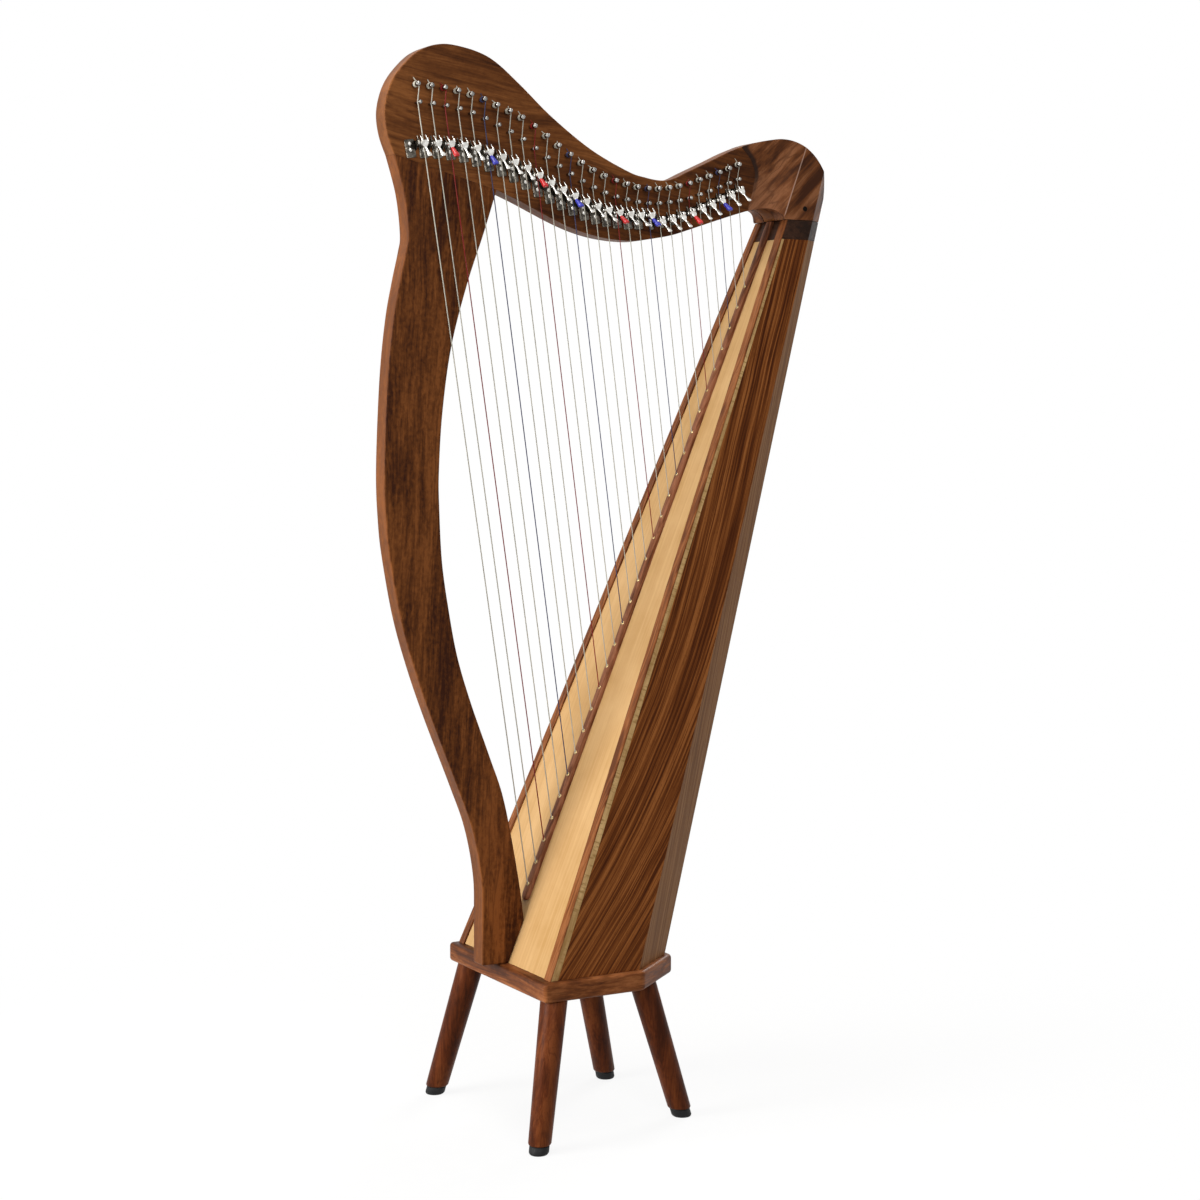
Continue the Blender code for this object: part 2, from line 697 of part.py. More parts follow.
def build_pillar():
    """Build the pillar, which stands on the base and on the board's lower end."""
    clear = level(GAP)
    front_foot = (FOOT.x - FOOT_OVERHANG, BASE_TOP + GAP)
    heel = (front_x(BASE_TOP + GAP) + BOARD_FACE - clear, BASE_TOP + GAP)
    seat = on_board(PILLAR_SEAT_LENGTH)
    seat_end = (front_x(seat.z) + BOARD_FACE - clear, seat.z)
    head, inner = from_shoulder((JOINT_FRONT, JOINT_INNER))
    front = pillar_edge(front_foot, (head[0], head[1] - GAP), PILLAR_FRONT)
    back = pillar_edge(seat_end, (inner[0], inner[1] - GAP), PILLAR_INNER)
    outline = [heel, *back, *reversed(front)]
    pillar = finish_mesh("pillar", prism(outline, -HALF_TIMBER, HALF_TIMBER), "rosewood")
    round_edges(pillar, TIMBER_ROUND)
    return min(x for x, _ in outline)


def neck_outline():
    """Return the neck's closed outline."""
    bottom = smooth_curve(from_shoulder(NECK_BOTTOM[:14])) + from_shoulder(NECK_BOTTOM[14:])
    top = smooth_curve(from_shoulder(NECK_TOP))
    back_foot = (back_x(SHOULDER.z), SHOULDER.z + GAP)
    return [*bottom, back_foot, *reversed(top)]


def shoulder_outline():
    """Return the outline that the shoulder cheeks share with the neck."""
    cove = from_shoulder(NECK_BOTTOM[12:])
    top = from_shoulder([pair for pair in NECK_TOP if pair[0] > NECK_BOTTOM[12][0] - 0.002])
    back_foot = (back_x(SHOULDER.z), SHOULDER.z + GAP)
    return [*cove, back_foot, *reversed(top)]


def cut_by_plane(bm, point, out):
    """Cut off what lies on the outer side of a plane, and close the cut."""
    geometry = [*bm.verts, *bm.edges, *bm.faces]
    cut = bmesh.ops.bisect_plane(
        bm, geom=geometry, plane_co=point, plane_no=out, clear_outer=True, dist=1e-7)
    edges = [piece for piece in cut["geom_cut"] if isinstance(piece, bmesh.types.BMEdge)]
    bmesh.ops.edgenet_fill(bm, edges=edges)


def scoop_cutter(name, sign):
    """Return the cutter of a cheek's scooped front."""
    inner = from_shoulder(SCOOP_INNER)
    foot, head = from_shoulder((SCOOP_OUTER_FOOT, SCOOP_OUTER_HEAD))
    last = len(inner) - 1
    near = []
    far = []
    for i, (x, z) in enumerate(inner):
        t = i / last
        outer_x = foot[0] + (head[0] - foot[0]) * t
        outer_z = foot[1] + (head[1] - foot[1]) * t
        run = Vector((outer_x - x, half_width(outer_z) - HALF_TIMBER, outer_z - z))
        start = Vector((x, HALF_TIMBER, z))
        near.append(start - run * 0.3)
        far.append(start + run * 1.8)
    extra = TIMBER_THICKNESS
    for line in (near, far):
        line.insert(0, line[0] - Vector((0.0, 0.0, extra)))
        line.append(line[-1] + Vector((0.0, 0.0, extra)))
        clear_x = inner[0][0] - 4 * extra
        line.append(Vector((clear_x, line[-1].y, line[-1].z)))
        line.append(Vector((clear_x, line[0].y, line[0].z)))
    rings = [[Vector((p.x, sign * p.y, p.z)) for p in line] for line in (near, far)]
    return finish_mesh(name, loft(rings), "rosewood")


def build_shoulder():
    """Build the two cheeks that widen the neck to the box, and the dowel through them."""
    foot_z = SHOULDER.z
    head_z = SHOULDER.z + SCOOP_OUTER_HEAD[1]
    for side, sign in (("left", -1), ("right", 1)):
        outer = sign * 1.5 * BOX_TOP_HALF_WIDTH
        bm = prism(shoulder_outline(), sign * (HALF_TIMBER + GAP), outer)
        bmesh.ops.recalc_face_normals(bm, faces=bm.faces)
        low = Vector((0.0, sign * half_width(foot_z), foot_z))
        high = Vector((0.0, sign * half_width(head_z), head_z))
        out = Vector((1, 0, 0)).cross(high - low).normalized()
        cut_by_plane(bm, low, out if out.y * sign > 0 else -out)
        corner = Vector((side_x(foot_z), sign * half_width(foot_z), foot_z))
        rise = Vector((side_x(head_z), sign * half_width(head_z), head_z)) - corner
        plan = Vector((math.cos(FACET_ANGLE), -sign * math.sin(FACET_ANGLE), 0.0))
        out = plan.cross(rise).normalized()
        cut_by_plane(bm, corner, out if out.y * sign > 0 else -out)
        cheek = finish_mesh("shoulder_cheek_" + side, bm, "rosewood")
        combine(cheek, "DIFFERENCE", [
            scoop_cutter("scoop_" + side, sign), dowel_shape("dowel_hole_" + side, GAP, GAP)])
    dowel_shape("shoulder_dowel", 0.0, -GAP, visible=True)


def dowel_shape(name, clearance, longer, visible=False):
    """Return the dowel, or its hole when it has a clearance."""
    (x, z), = from_shoulder((DOWEL_PLACE,))
    reach = half_width(z) + (longer if visible else BOX_TOP_HALF_WIDTH)
    points = (Vector((x, -reach, z)), Vector((x, reach, z)))
    bm = tube(points, DOWEL_RADIUS + clearance, DOWEL_SIDES)
    return finish_mesh(name, bm, "rosewood_dark", 40.0)


def eyelet_run(number):
    """Return how far up the board a string's eyelet lies."""
    last = BOARD_LENGTH - LAST_EYELET_MARGIN
    return FIRST_EYELET + (last - FIRST_EYELET) * (number - 1) / (STRING_COUNT - 1)


def eyelet(number):
    """Return the point on the rib where a string comes out."""
    return on_board(eyelet_run(number), 0.0, RIB_PROUD - TRIM_THICKNESS)


def bridge_pin(number):
    """Return (X, Z) of a bridge pin."""
    n = number - 1
    last = STRING_COUNT - 1
    reach = FIRST_PIN_REACH + (LAST_PIN_REACH - FIRST_PIN_REACH) * n / last
    reach += PIN_PITCH_LOSS / 2 * n * (1 - n / last)
    return SHOULDER.x + reach, SHOULDER.z + read_curve(PIN_LINE, number)


def tuning_pin(number):
    """Return (X, Z) of a tuning pin."""
    x, z = bridge_pin(number)
    return x + TUNING_SIDESTEP, z + read_curve(TUNING_RISE, number)


def string_radius(number):
    """Return a string's radius."""
    t = (number - 1) / (STRING_COUNT - 1)
    return BASS_STRING_RADIUS + (TREBLE_STRING_RADIUS - BASS_STRING_RADIUS) * t


def string_head(number):
    """Return the point where a string bears on its bridge pin."""
    x, z = bridge_pin(number)
    side = BRIDGE_PIN_RADIUS + string_radius(number) + 1.5 * GAP
    return Vector((x - side, -HALF_TIMBER - STRING_STANDOFF, z))


def string_lean(number):
    """Return how far a string leans from upright, in its plane seen from the side."""
    run = string_head(number) - eyelet(number)
    return math.atan2(-run.x, run.z)


def lever_frame(number):
    """Return the matrix of a lever: X along its axle, Z up its string, at the pivot."""
    head = string_head(number)
    run = head - eyelet(number)
    if number < SMALL_LEVERS_FROM:
        drop = LARGE_DROP_SHARE * run.length + LARGE_DROP_OFFSET
    else:
        drop = SMALL_DROP_SHARE * run.length + SMALL_DROP_OFFSET
    on_string = head - run * (drop / run.length)
    pivot = Vector((on_string.x, -HALF_TIMBER - PIVOT_STANDOFF, on_string.z))
    turn = Matrix.Rotation(-string_lean(number), 4, "Y")
    return Matrix.Translation(pivot) @ turn


def ear_span():
    """Return the X span of a bracket's ear in its lever's frame."""
    prong_outer = FORK_CENTRE - PRONG_SPACING / 2 - PRONG_THICKNESS / 2
    return prong_outer - GAP - EAR_THICKNESS, prong_outer - GAP


def bracket_mesh(number):
    """Return the bmesh of a bracket, plate and ear, in its lever's frame."""
    small = number >= SMALL_LEVERS_FROM
    width = SMALL_PLATE_WIDTH if small else LARGE_PLATE_WIDTH
    ear_from, ear_to = ear_span()
    face = PIVOT_STANDOFF + OVERLAP
    front = PIVOT_STANDOFF - PLATE_THICKNESS
    tip = -2.2 * AXLE_RADIUS
    rings = []
    lifted = PIVOT_STANDOFF - GAP
    middle = -PLATE_BELOW_PIVOT / 2
    plate = (
        (face, PLATE_ABOVE_PIVOT), (face, middle), (lifted, middle),
        (lifted, -PLATE_BELOW_PIVOT), (front, -PLATE_BELOW_PIVOT), (front, middle),
        (front, tip), (front, PLATE_ABOVE_PIVOT),
    )
    ear = (
        (face, PLATE_ABOVE_PIVOT), (face, middle), (lifted, middle), (lifted, 1.01 * middle),
        (front, 1.01 * middle), (front, middle), (tip, tip), (tip, -tip),
    )
    for x, profile in ((ear_to - width, plate), (ear_from, plate), (ear_from, ear), (ear_to, ear)):
        rings.append([Vector((x, y, z)) for y, z in profile])
    return loft(rings)


def axle_mesh(longer, wider):
    """Return the bmesh of a lever's axle stub, or of its hole in the ear."""
    ear_from, ear_to = ear_span()
    points = (Vector((ear_from - longer, 0, 0)), Vector((ear_to + 2 * GAP + longer, 0, 0)))
    return tube(points, AXLE_RADIUS + wider, PIN_SIDES)


def build_neck():
    """Build the neck with its lever brackets and bridge pins, and the pin holes."""
    outline = neck_outline()
    neck = finish_mesh("neck", prism(outline, -HALF_TIMBER, HALF_TIMBER), "rosewood")
    neck.data.materials.append(paint("nickel"))
    round_edges(neck, TIMBER_ROUND)
    fittings = []
    holes = [dowel_shape("dowel_hole_neck", GAP, GAP)]
    for number in range(1, STRING_COUNT + 1):
        tag = "%02d" % number
        frame = lever_frame(number)
        bm = bracket_mesh(number)
        bm.transform(frame)
        fittings.append(finish_mesh("bracket_" + tag, bm, "nickel"))
        bm = axle_mesh(2 * GAP, GAP)
        bm.transform(frame)
        holes.append(finish_mesh("axle_hole_" + tag, bm, "nickel"))
        x, z = bridge_pin(number)
        ends = (Vector((x, -HALF_TIMBER - BRIDGE_PIN_LENGTH, z)), Vector((x, OVERLAP - HALF_TIMBER, z)))
        bm = tube(ends, BRIDGE_PIN_RADIUS, PIN_SIDES)
        fittings.append(finish_mesh("bridge_pin_" + tag, bm, "nickel"))
        holes.append(pin_shape("pin_hole_" + tag, number, GAP))
    combine(neck, "UNION", fittings)
    combine(neck, "DIFFERENCE", holes)
    return max(x for x, _ in outline)


def pin_shape(name, number, wider=0.0):
    """Return a tuning pin, or its hole through the neck when it is wider."""
    x, z = tuning_pin(number)
    front = HALF_TIMBER + (OVERLAP if wider else TUNING_PIN_LENGTH)
    back = HALF_TIMBER + (OVERLAP if wider else TUNING_SQUARE_LENGTH)
    ends = (Vector((x, -front, z)), Vector((x, back, z)))
    return finish_mesh(name, tube(ends, TUNING_PIN_RADIUS + wider, PIN_SIDES), "nickel")


def build_strings():
    """Build the strings with the inner rib they are knotted to and their tuning pins."""
    low = -(TRIM_THICKNESS + GAP + BOARD_THICKNESS + GAP + INNER_RIB_THICKNESS)
    high = low + INNER_RIB_THICKNESS
    half = INNER_RIB_WIDTH / 2
    stations = (eyelet_run(1) - INNER_RIB_OVERRUN, eyelet_run(STRING_COUNT) + INNER_RIB_OVERRUN)
    rings = [
        [on_board(along, y, out) for y, out in ((-half, low), (half, low), (half, high), (-half, high))]
        for along in stations
    ]
    strings = finish_mesh("string_set", loft(rings), "nylon")
    strings.data.materials.append(paint("nickel"))
    pieces = []
    for number in range(1, STRING_COUNT + 1):
        tag = "%02d" % number
        x, z = tuning_pin(number)
        radius = string_radius(number)
        wound = Vector((x + TUNING_PIN_RADIUS, -HALF_TIMBER - STRING_STANDOFF, z))
        start = on_board(eyelet_run(number), 0.0, high - OVERLAP)
        bend = on_board(eyelet_run(number), 0.0, RIB_PROUD - TRIM_THICKNESS + radius)
        points = (start, bend, string_head(number), wound)
        pieces.append(finish_mesh("string_" + tag, tube(points, radius, STRING_SIDES), "nylon"))
        pieces.append(pin_shape("tuning_pin_" + tag, number))
    combine(strings, "UNION", pieces)


def prong_mesh(x_from):
    """Return the bmesh of one blade prong of a lever's fork."""
    profile = (
        (-0.0040, -0.0022), (0.0006, -0.0026), (0.0024, -0.0008), (0.0038, 0.0046),
        (0.0022, 0.0062), (-0.0022, 0.0024), (-0.0040, 0.0010),
    )
    return loft([[Vector((x, y, z)) for y, z in profile] for x in (x_from, x_from + PRONG_THICKNESS)])


def lever_mesh(name, handle_drop):
    """Build the mesh of a lever: fork, cross piece, axle stub and handle."""
    left = FORK_CENTRE - PRONG_SPACING / 2 - PRONG_THICKNESS / 2
    right = FORK_CENTRE + PRONG_SPACING / 2 - PRONG_THICKNESS / 2
    body = block((left, -0.0044, -0.0034), (right + PRONG_THICKNESS, -0.0018, 0.0016))
    lever = finish_mesh(name, body, "nickel")
    run = Vector((0.0, -HANDLE_REACH, -handle_drop))
    rings = []
    stations = (
        (0.18, 1.3 * HANDLE_WIDTH, HANDLE_THICKNESS), (0.45, HANDLE_WIDTH, HANDLE_THICKNESS),
        (0.80, PAD_WIDTH, 1.15 * HANDLE_THICKNESS), (1.0, 0.75 * PAD_WIDTH, HANDLE_THICKNESS),
    )
    across = Vector((1.0, 0.0, 0.0))
    out = run.cross(across).normalized()
    for along, wide, thick in stations:
        centre = Vector((FORK_CENTRE, 0.0, 0.0)) + run * along
        rings.append([
            centre + across * (a * wide / 2) + out * (b * thick / 2)
            for a, b in ((-1, -1), (1, -1), (1, 1), (-1, 1))
        ])
    pieces = [
        finish_mesh(name + "_prong_left", prong_mesh(left), "nickel"),
        finish_mesh(name + "_prong_right", prong_mesh(right), "nickel"),
        finish_mesh(name + "_handle", loft(rings), "nickel"),
        finish_mesh(name + "_axle", axle_mesh(0.0, 0.0), "nickel"),
    ]
    combine(lever, "UNION", pieces)
    bpy.context.view_layer.update()
    graph = bpy.context.evaluated_depsgraph_get()
    mesh = bpy.data.meshes.new_from_object(lever.evaluated_get(graph))
    for item in (*pieces, lever):
        bpy.data.objects.remove(item, do_unlink=True)
    return mesh


def build_levers():
    """Build one sharping lever for each string, on its own pivot."""
    large = lever_mesh("lever_large", LARGE_HANDLE_DROP)
    small = lever_mesh("lever_small", SMALL_HANDLE_DROP)
    for number in range(1, STRING_COUNT + 1):
        mesh = large if number < SMALL_LEVERS_FROM else small
        lever = bpy.data.objects.new("lever_%02d" % number, mesh)
        bpy.context.scene.collection.objects.link(lever)
        lever.matrix_basis = lever_frame(number)


def build_harp():
    """Build the whole harp and move it onto the centre of its own footprint."""
    clear_scene()
    build_base()
    build_legs()
    build_soundbox()
    build_rib()
    front = build_pillar()
    back = build_neck()
    build_shoulder()
    build_strings()
    build_levers()
    pieces = list(bpy.data.objects)
    harp = bpy.data.objects.new("harp", None)
    bpy.context.scene.collection.objects.link(harp)
    harp.location.x = -(front + back) / 2
    for piece in pieces:
        piece.parent = harp


build_harp()
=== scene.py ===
"""Lever harp with 29 strings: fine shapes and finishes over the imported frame.

Lengths are metres, +Z is up and +X points towards the player. The player's left, -Y,
is the side where strings and levers lie, and the camera looks at that side.
"""

import logging
import math
from collections.abc import Sequence
from dataclasses import dataclass
from enum import Enum

import bmesh
import bpy
from mathutils import Matrix, Vector

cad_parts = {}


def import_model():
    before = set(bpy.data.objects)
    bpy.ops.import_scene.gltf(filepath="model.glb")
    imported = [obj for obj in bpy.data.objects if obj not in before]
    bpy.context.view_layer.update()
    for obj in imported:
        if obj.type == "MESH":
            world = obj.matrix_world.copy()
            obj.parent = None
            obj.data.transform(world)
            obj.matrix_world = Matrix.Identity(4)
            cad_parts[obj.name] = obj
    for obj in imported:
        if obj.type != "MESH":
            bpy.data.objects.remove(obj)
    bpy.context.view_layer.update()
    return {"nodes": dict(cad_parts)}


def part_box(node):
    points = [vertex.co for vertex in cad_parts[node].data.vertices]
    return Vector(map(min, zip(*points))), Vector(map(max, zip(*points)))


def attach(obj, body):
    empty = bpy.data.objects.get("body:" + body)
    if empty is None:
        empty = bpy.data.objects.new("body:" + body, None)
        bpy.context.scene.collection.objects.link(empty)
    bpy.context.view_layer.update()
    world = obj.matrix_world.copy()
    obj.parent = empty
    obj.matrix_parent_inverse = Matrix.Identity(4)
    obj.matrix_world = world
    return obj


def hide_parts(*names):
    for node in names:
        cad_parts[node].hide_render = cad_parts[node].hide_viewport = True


LOG = logging.getLogger("harp")

ROOT = "root"
# Clearance that the solids keep between pieces.
GAP = 0.0003

Colour = tuple[float, float, float]
Triple = tuple[float, float, float]
Pair = tuple[float, float]
Pairs = tuple[Pair, ...]
Station = tuple[float, float, float, float]
Stations = tuple[Station, ...]
Shape = bmesh.types.BMesh
Item = bpy.types.Object
Material = bpy.types.Material
Socket = bpy.types.NodeSocket

ALONG_X = Vector((1.0, 0.0, 0.0))
# The way that pins and screws face.
TO_LEFT = Vector((0.0, -1.0, 0.0))
UPRIGHT: Triple = (0.0, 0.0, 1.0)
CROSSWISE: Triple = (0.0, 1.0, 0.0)
WHITE: Colour = (1.0, 1.0, 1.0)


class Slot(Enum):
    """Names of material slots in the record."""

    ROSEWOOD = "rosewood"
    VENEER = "rosewood_veneer"
    DARK = "rosewood_dark"
    BIRCH = "birch"
    NICKEL = "nickel"
    NYLON = "nylon"
    STRING_RED = "string_red"
    STRING_BLUE = "string_blue"
    SLEEVE_RED = "sleeve_red"
    SLEEVE_BLUE = "sleeve_blue"
    BRASS = "brass"
    RUBBER = "rubber"


class Tint(Enum):
    """Colour of a string and of the sleeve on its lever."""

    CLEAR = "clear"
    RED = "red"
    BLUE = "blue"


class Side(Enum):
    """Sides of the harp, with the sign of Y on each."""

    LEFT = -1
    RIGHT = 1

    @property
    def tag(self) -> str:
        """Name of the side in node names."""
        return self.name.lower()


def smooth_curve(points: Sequence[Pair], steps: int) -> list[Pair]:
    """Lay a Catmull-Rom curve through pairs.

    Args:
        points: Pairs that the curve passes.
        steps: Stretches made of each run between two pairs.

    Returns:
        The points of the curve, first and last pair included.
    """
    ends = [points[0], *points, points[-1]]
    curve = []
    for a, b, c, d in zip(ends, ends[1:], ends[2:], ends[3:]):
        for k in range(steps):
            t = k / steps
            curve.append(tuple(
                0.5 * (2 * q + (r - p) * t + (2 * p - 5 * q + 4 * r - s) * t ** 2
                       + (3 * q - p - 3 * r + s) * t ** 3)
                for p, q, r, s in zip(a, b, c, d)
            ))
    curve.append(tuple(points[-1]))
    return curve


def read_curve(table: Sequence[Pair], place: float) -> float:
    """Read a smooth table of (place, value) pairs.

    Args:
        table: Pairs in rising order of place.
        place: Where to read.

    Returns:
        The value at that place.
    """
    curve = smooth_curve(table, steps=3)
    for (x0, y0), (x1, y1) in zip(curve, curve[1:]):
        if x0 <= place <= x1:
            return y0 + (y1 - y0) * (place - x0) / (x1 - x0)
    return curve[-1][1]


def loft(rings: list[list[Vector]]) -> Shape:
    """Join rings of points into one closed skin.

    Args:
        rings: Rings with the same number of points each.

    Returns:
        The new bmesh, with a face over each end.
    """
    bm = bmesh.new()
    loops = [[bm.verts.new(point) for point in ring] for ring in rings]
    count = len(loops[0])
    for lower, upper in zip(loops, loops[1:]):
        for i in range(count):
            j = (i + 1) % count
            bm.faces.new((lower[i], lower[j], upper[j], upper[i]))
    bm.faces.new(list(reversed(loops[0])))
    bm.faces.new(loops[-1])
    return bm


def prism(outline: Sequence[Pair], y_from: float, y_to: float) -> Shape:
    """Pull a closed (X, Z) outline from one Y to another."""
    return loft([[Vector((x, y, z)) for x, z in outline] for y in (y_from, y_to)])


def full_turn(sides: int) -> list[Pair]:
    """Return the cosine and sine of evenly spaced angles round a circle."""
    angles = [2 * math.pi * k / sides for k in range(sides)]
    return [(math.cos(a), math.sin(a)) for a in angles]


def circle(centre: Vector, axis: Vector, radius: float, sides: int) -> list[Vector]:
    """Lay points on a circle.

    Args:
        centre: Centre of the circle.
        axis: Direction square to it.
        radius: Its radius.
        sides: Number of points.

    Returns:
        The points, in order.
    """
    way = axis.normalized()
    first = way.orthogonal().normalized()
    second = way.cross(first)
    return [centre + radius * (c * first + s * second) for c, s in full_turn(sides)]


def turned(start: Vector, axis: Vector, profile: Sequence[Pair], sides: int) -> Shape:
    """Turn a profile of (run, radius) pairs on an axis."""
    way = axis.normalized()
    return loft([circle(start + way * along, way, radius, sides) for along, radius in profile])


def swept(points: list[Vector], radius: float, sides: int, taper: float) -> Shape:
    """Run a round section along a path without twisting it.

    Args:
        points: Path of the centre line.
        radius: Radius of the section.
        sides: Number of its sides.
        taper: Share of the radius left at the last point.

    Returns:
        The new bmesh, closed at both ends.
    """
    runs = [(b - a).normalized() for a, b in zip(points, points[1:])]
    side = runs[0].orthogonal().normalized()
    rings = []
    for i, point in enumerate(points):
        way = (runs[max(i - 1, 0)] + runs[min(i, len(runs) - 1)]).normalized()
        side = (side - way * side.dot(way)).normalized()
        across = way.cross(side)
        size = radius * (taper if i == len(points) - 1 else 1.0)
        rings.append([point + size * (c * side + s * across) for c, s in full_turn(sides)])
    return loft(rings)


def absorb(target: Shape, source: Shape) -> None:
    """Add a bmesh to another and free it.

    Args:
        target: The bmesh that grows.
        source: The bmesh that is taken in.
    """
    mesh = bpy.data.meshes.new("part")
    source.to_mesh(mesh)
    source.free()
    target.from_mesh(mesh)
    bpy.data.meshes.remove(mesh)


def copy_in(target: Shape, mesh: bpy.types.Mesh, place: Matrix) -> None:
    """Add a moved copy of a mesh to a bmesh.

    Args:
        target: The bmesh that grows.
        mesh: The mesh, which stays as it is.
        place: Where the copy goes.
    """
    moved = mesh.copy()
    moved.transform(place)
    target.from_mesh(moved)
    bpy.data.meshes.remove(moved)


def take_shape(item: Item) -> Shape:
    """Turn an object back into a bmesh, and remove the object.

    Args:
        item: The object.

    Returns:
        Its shape.
    """
    bm = bmesh.new()
    bm.from_mesh(item.data)
    bpy.data.objects.remove(item, do_unlink=True)
    return bm


def settle(item: Item) -> None:
    """Turn an object's modifiers into its mesh.

    Args:
        item: The object.
    """
    bpy.context.view_layer.update()
    graph = bpy.context.evaluated_depsgraph_get()
    mesh = bpy.data.meshes.new_from_object(
        item.evaluated_get(graph), preserve_all_data_layers=True, depsgraph=graph)
    old = item.data
    item.modifiers.clear()
    item.data = mesh
    bpy.data.meshes.remove(old)


def bare_object(name: str, bm: Shape, sharp: float = 35.0) -> Item:
    """Turn a bmesh into an object with outward, softly shaded faces.

    Args:
        name: Name of the object.
        bm: Its shape, which is freed.
        sharp: Angle in degrees over which an edge stays sharp.

    Returns:
        The new object, linked to the scene.
    """
    bmesh.ops.recalc_face_normals(bm, faces=bm.faces)
    mesh = bpy.data.meshes.new(name)
    bm.to_mesh(mesh)
    bm.free()
    mesh.shade_smooth()
    mesh.set_sharp_from_angle(angle=math.radians(sharp))
    item = bpy.data.objects.new(name, mesh)
    bpy.context.scene.collection.objects.link(item)
    return item


def round_edges(
    item: Item, width: float, segments: int, angle: float, joint: tuple[Pair, Pair] | None = None
) -> None:
    """Round an object's sharp edges and keep its flats flat.

    Args:
        item: The object.
        width: Width of the rounding.
        segments: Number of facets in it.
        angle: Angle in degrees over which an edge is rounded.
        joint: Ends in (X, Z) of a glued joint whose edges stay sharp.
    """
    bevel = item.modifiers.new("round", "BEVEL")
    bevel.width = width
    bevel.segments = segments
    bevel.harden_normals = True
    if joint is None:
        bevel.limit_method = "ANGLE"
        bevel.angle_limit = math.radians(angle)
    else:
        bevel.limit_method = "WEIGHT"
        weigh_edges(item.data, angle, joint)
    settle(item)


def weigh_edges(mesh: bpy.types.Mesh, angle: float, joint: tuple[Pair, Pair]) -> None:
    """Mark the sharp edges that get rounded, all but those along a joint.

    Args:
        mesh: The mesh.
        angle: Angle in degrees over which an edge counts as sharp.
        joint: Ends in (X, Z) of the joint line.
    """
    ends = [Vector(end) for end in joint]
    bm = bmesh.new()
    bm.from_mesh(mesh)
    layer = bm.edges.layers.float.new("bevel_weight_edge")
    for edge in bm.edges:
        if len(edge.link_faces) != 2 or edge.calc_face_angle() < math.radians(angle):
            continue
        gaps = [
            min((Vector((v.co.x, v.co.z)) - end).length for end in ends) for v in edge.verts
        ]
        edge[layer] = 0.0 if max(gaps) < 2 * GAP else 1.0
    bm.to_mesh(mesh)
    bm.free()


def cut_out(item: Item, tools: list[Item]) -> None:
    """Cut tools out of an object, and remove them.

    Args:
        item: The object.
        tools: Objects in the form of what is cut away.
    """
    for tool in tools:
        cut = item.modifiers.new("cut", "BOOLEAN")
        cut.operation = "DIFFERENCE"
        cut.solver = "EXACT"
        cut.object = tool
    settle(item)
    for tool in tools:
        bpy.data.objects.remove(tool, do_unlink=True)


def dress(
    item: Item, material: Material, stands_for: tuple[str, ...] = (), body: str = ROOT
) -> None:
    """Give a new piece its finish and its place in the frame.

    Args:
        item: The piece.
        material: Its finish.
        stands_for: CAD nodes that the piece replaces.
        body: CAD body that it rides on.
    """
    item.data.materials.clear()
    item.data.materials.append(material)
    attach(item, body)
    if stands_for:
        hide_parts(*stands_for)
    LOG.info("piece %s on %s", item.name, body)


class Tree:
    """Node tree, with short calls that add and join nodes."""

    def __init__(self, tree: bpy.types.NodeTree) -> None:
        """Work on a node tree."""
        self.tree = tree

    def add(self, kind: str, inputs: dict | None = None, **settings: object) -> bpy.types.Node:
        """Add a node.

        Args:
            kind: Node type without its ShaderNode prefix.
            inputs: Values or sockets for its inputs, by name or index.
            **settings: The node's own settings.

        Returns:
            The new node.
        """
        node = self.tree.nodes.new("ShaderNode" + kind)
        for key, value in settings.items():
            setattr(node, key, value)
        for key, value in (inputs or {}).items():
            self.join(value, node.inputs[key])
        return node

    def join(self, value: object, socket: Socket) -> None:
        """Link a socket to an input, or set the input to a plain value.

        Args:
            value: The socket or the value.
            socket: The input.
        """
        if isinstance(value, Socket):
            self.tree.links.new(value, socket)
        else:
            socket.default_value = value

    def math(self, operation: str, a: object, b: object = 0.0, c: object = 0.0) -> Socket:
        """Add a Math node of up to three values."""
        return self.add("Math", {0: a, 1: b, 2: c}, operation=operation).outputs[0]

    def seen(self) -> Socket:
        """Make 1 for rays of the camera, mirrored rays and rays let through, else 0.

        Returns:
            The socket of that value.
        """
        rays = self.add("LightPath").outputs
        bounced = self.math("MAXIMUM", rays["Is Glossy Ray"], rays["Is Transmission Ray"])
        return self.math("MAXIMUM", rays["Is Camera Ray"], bounced)


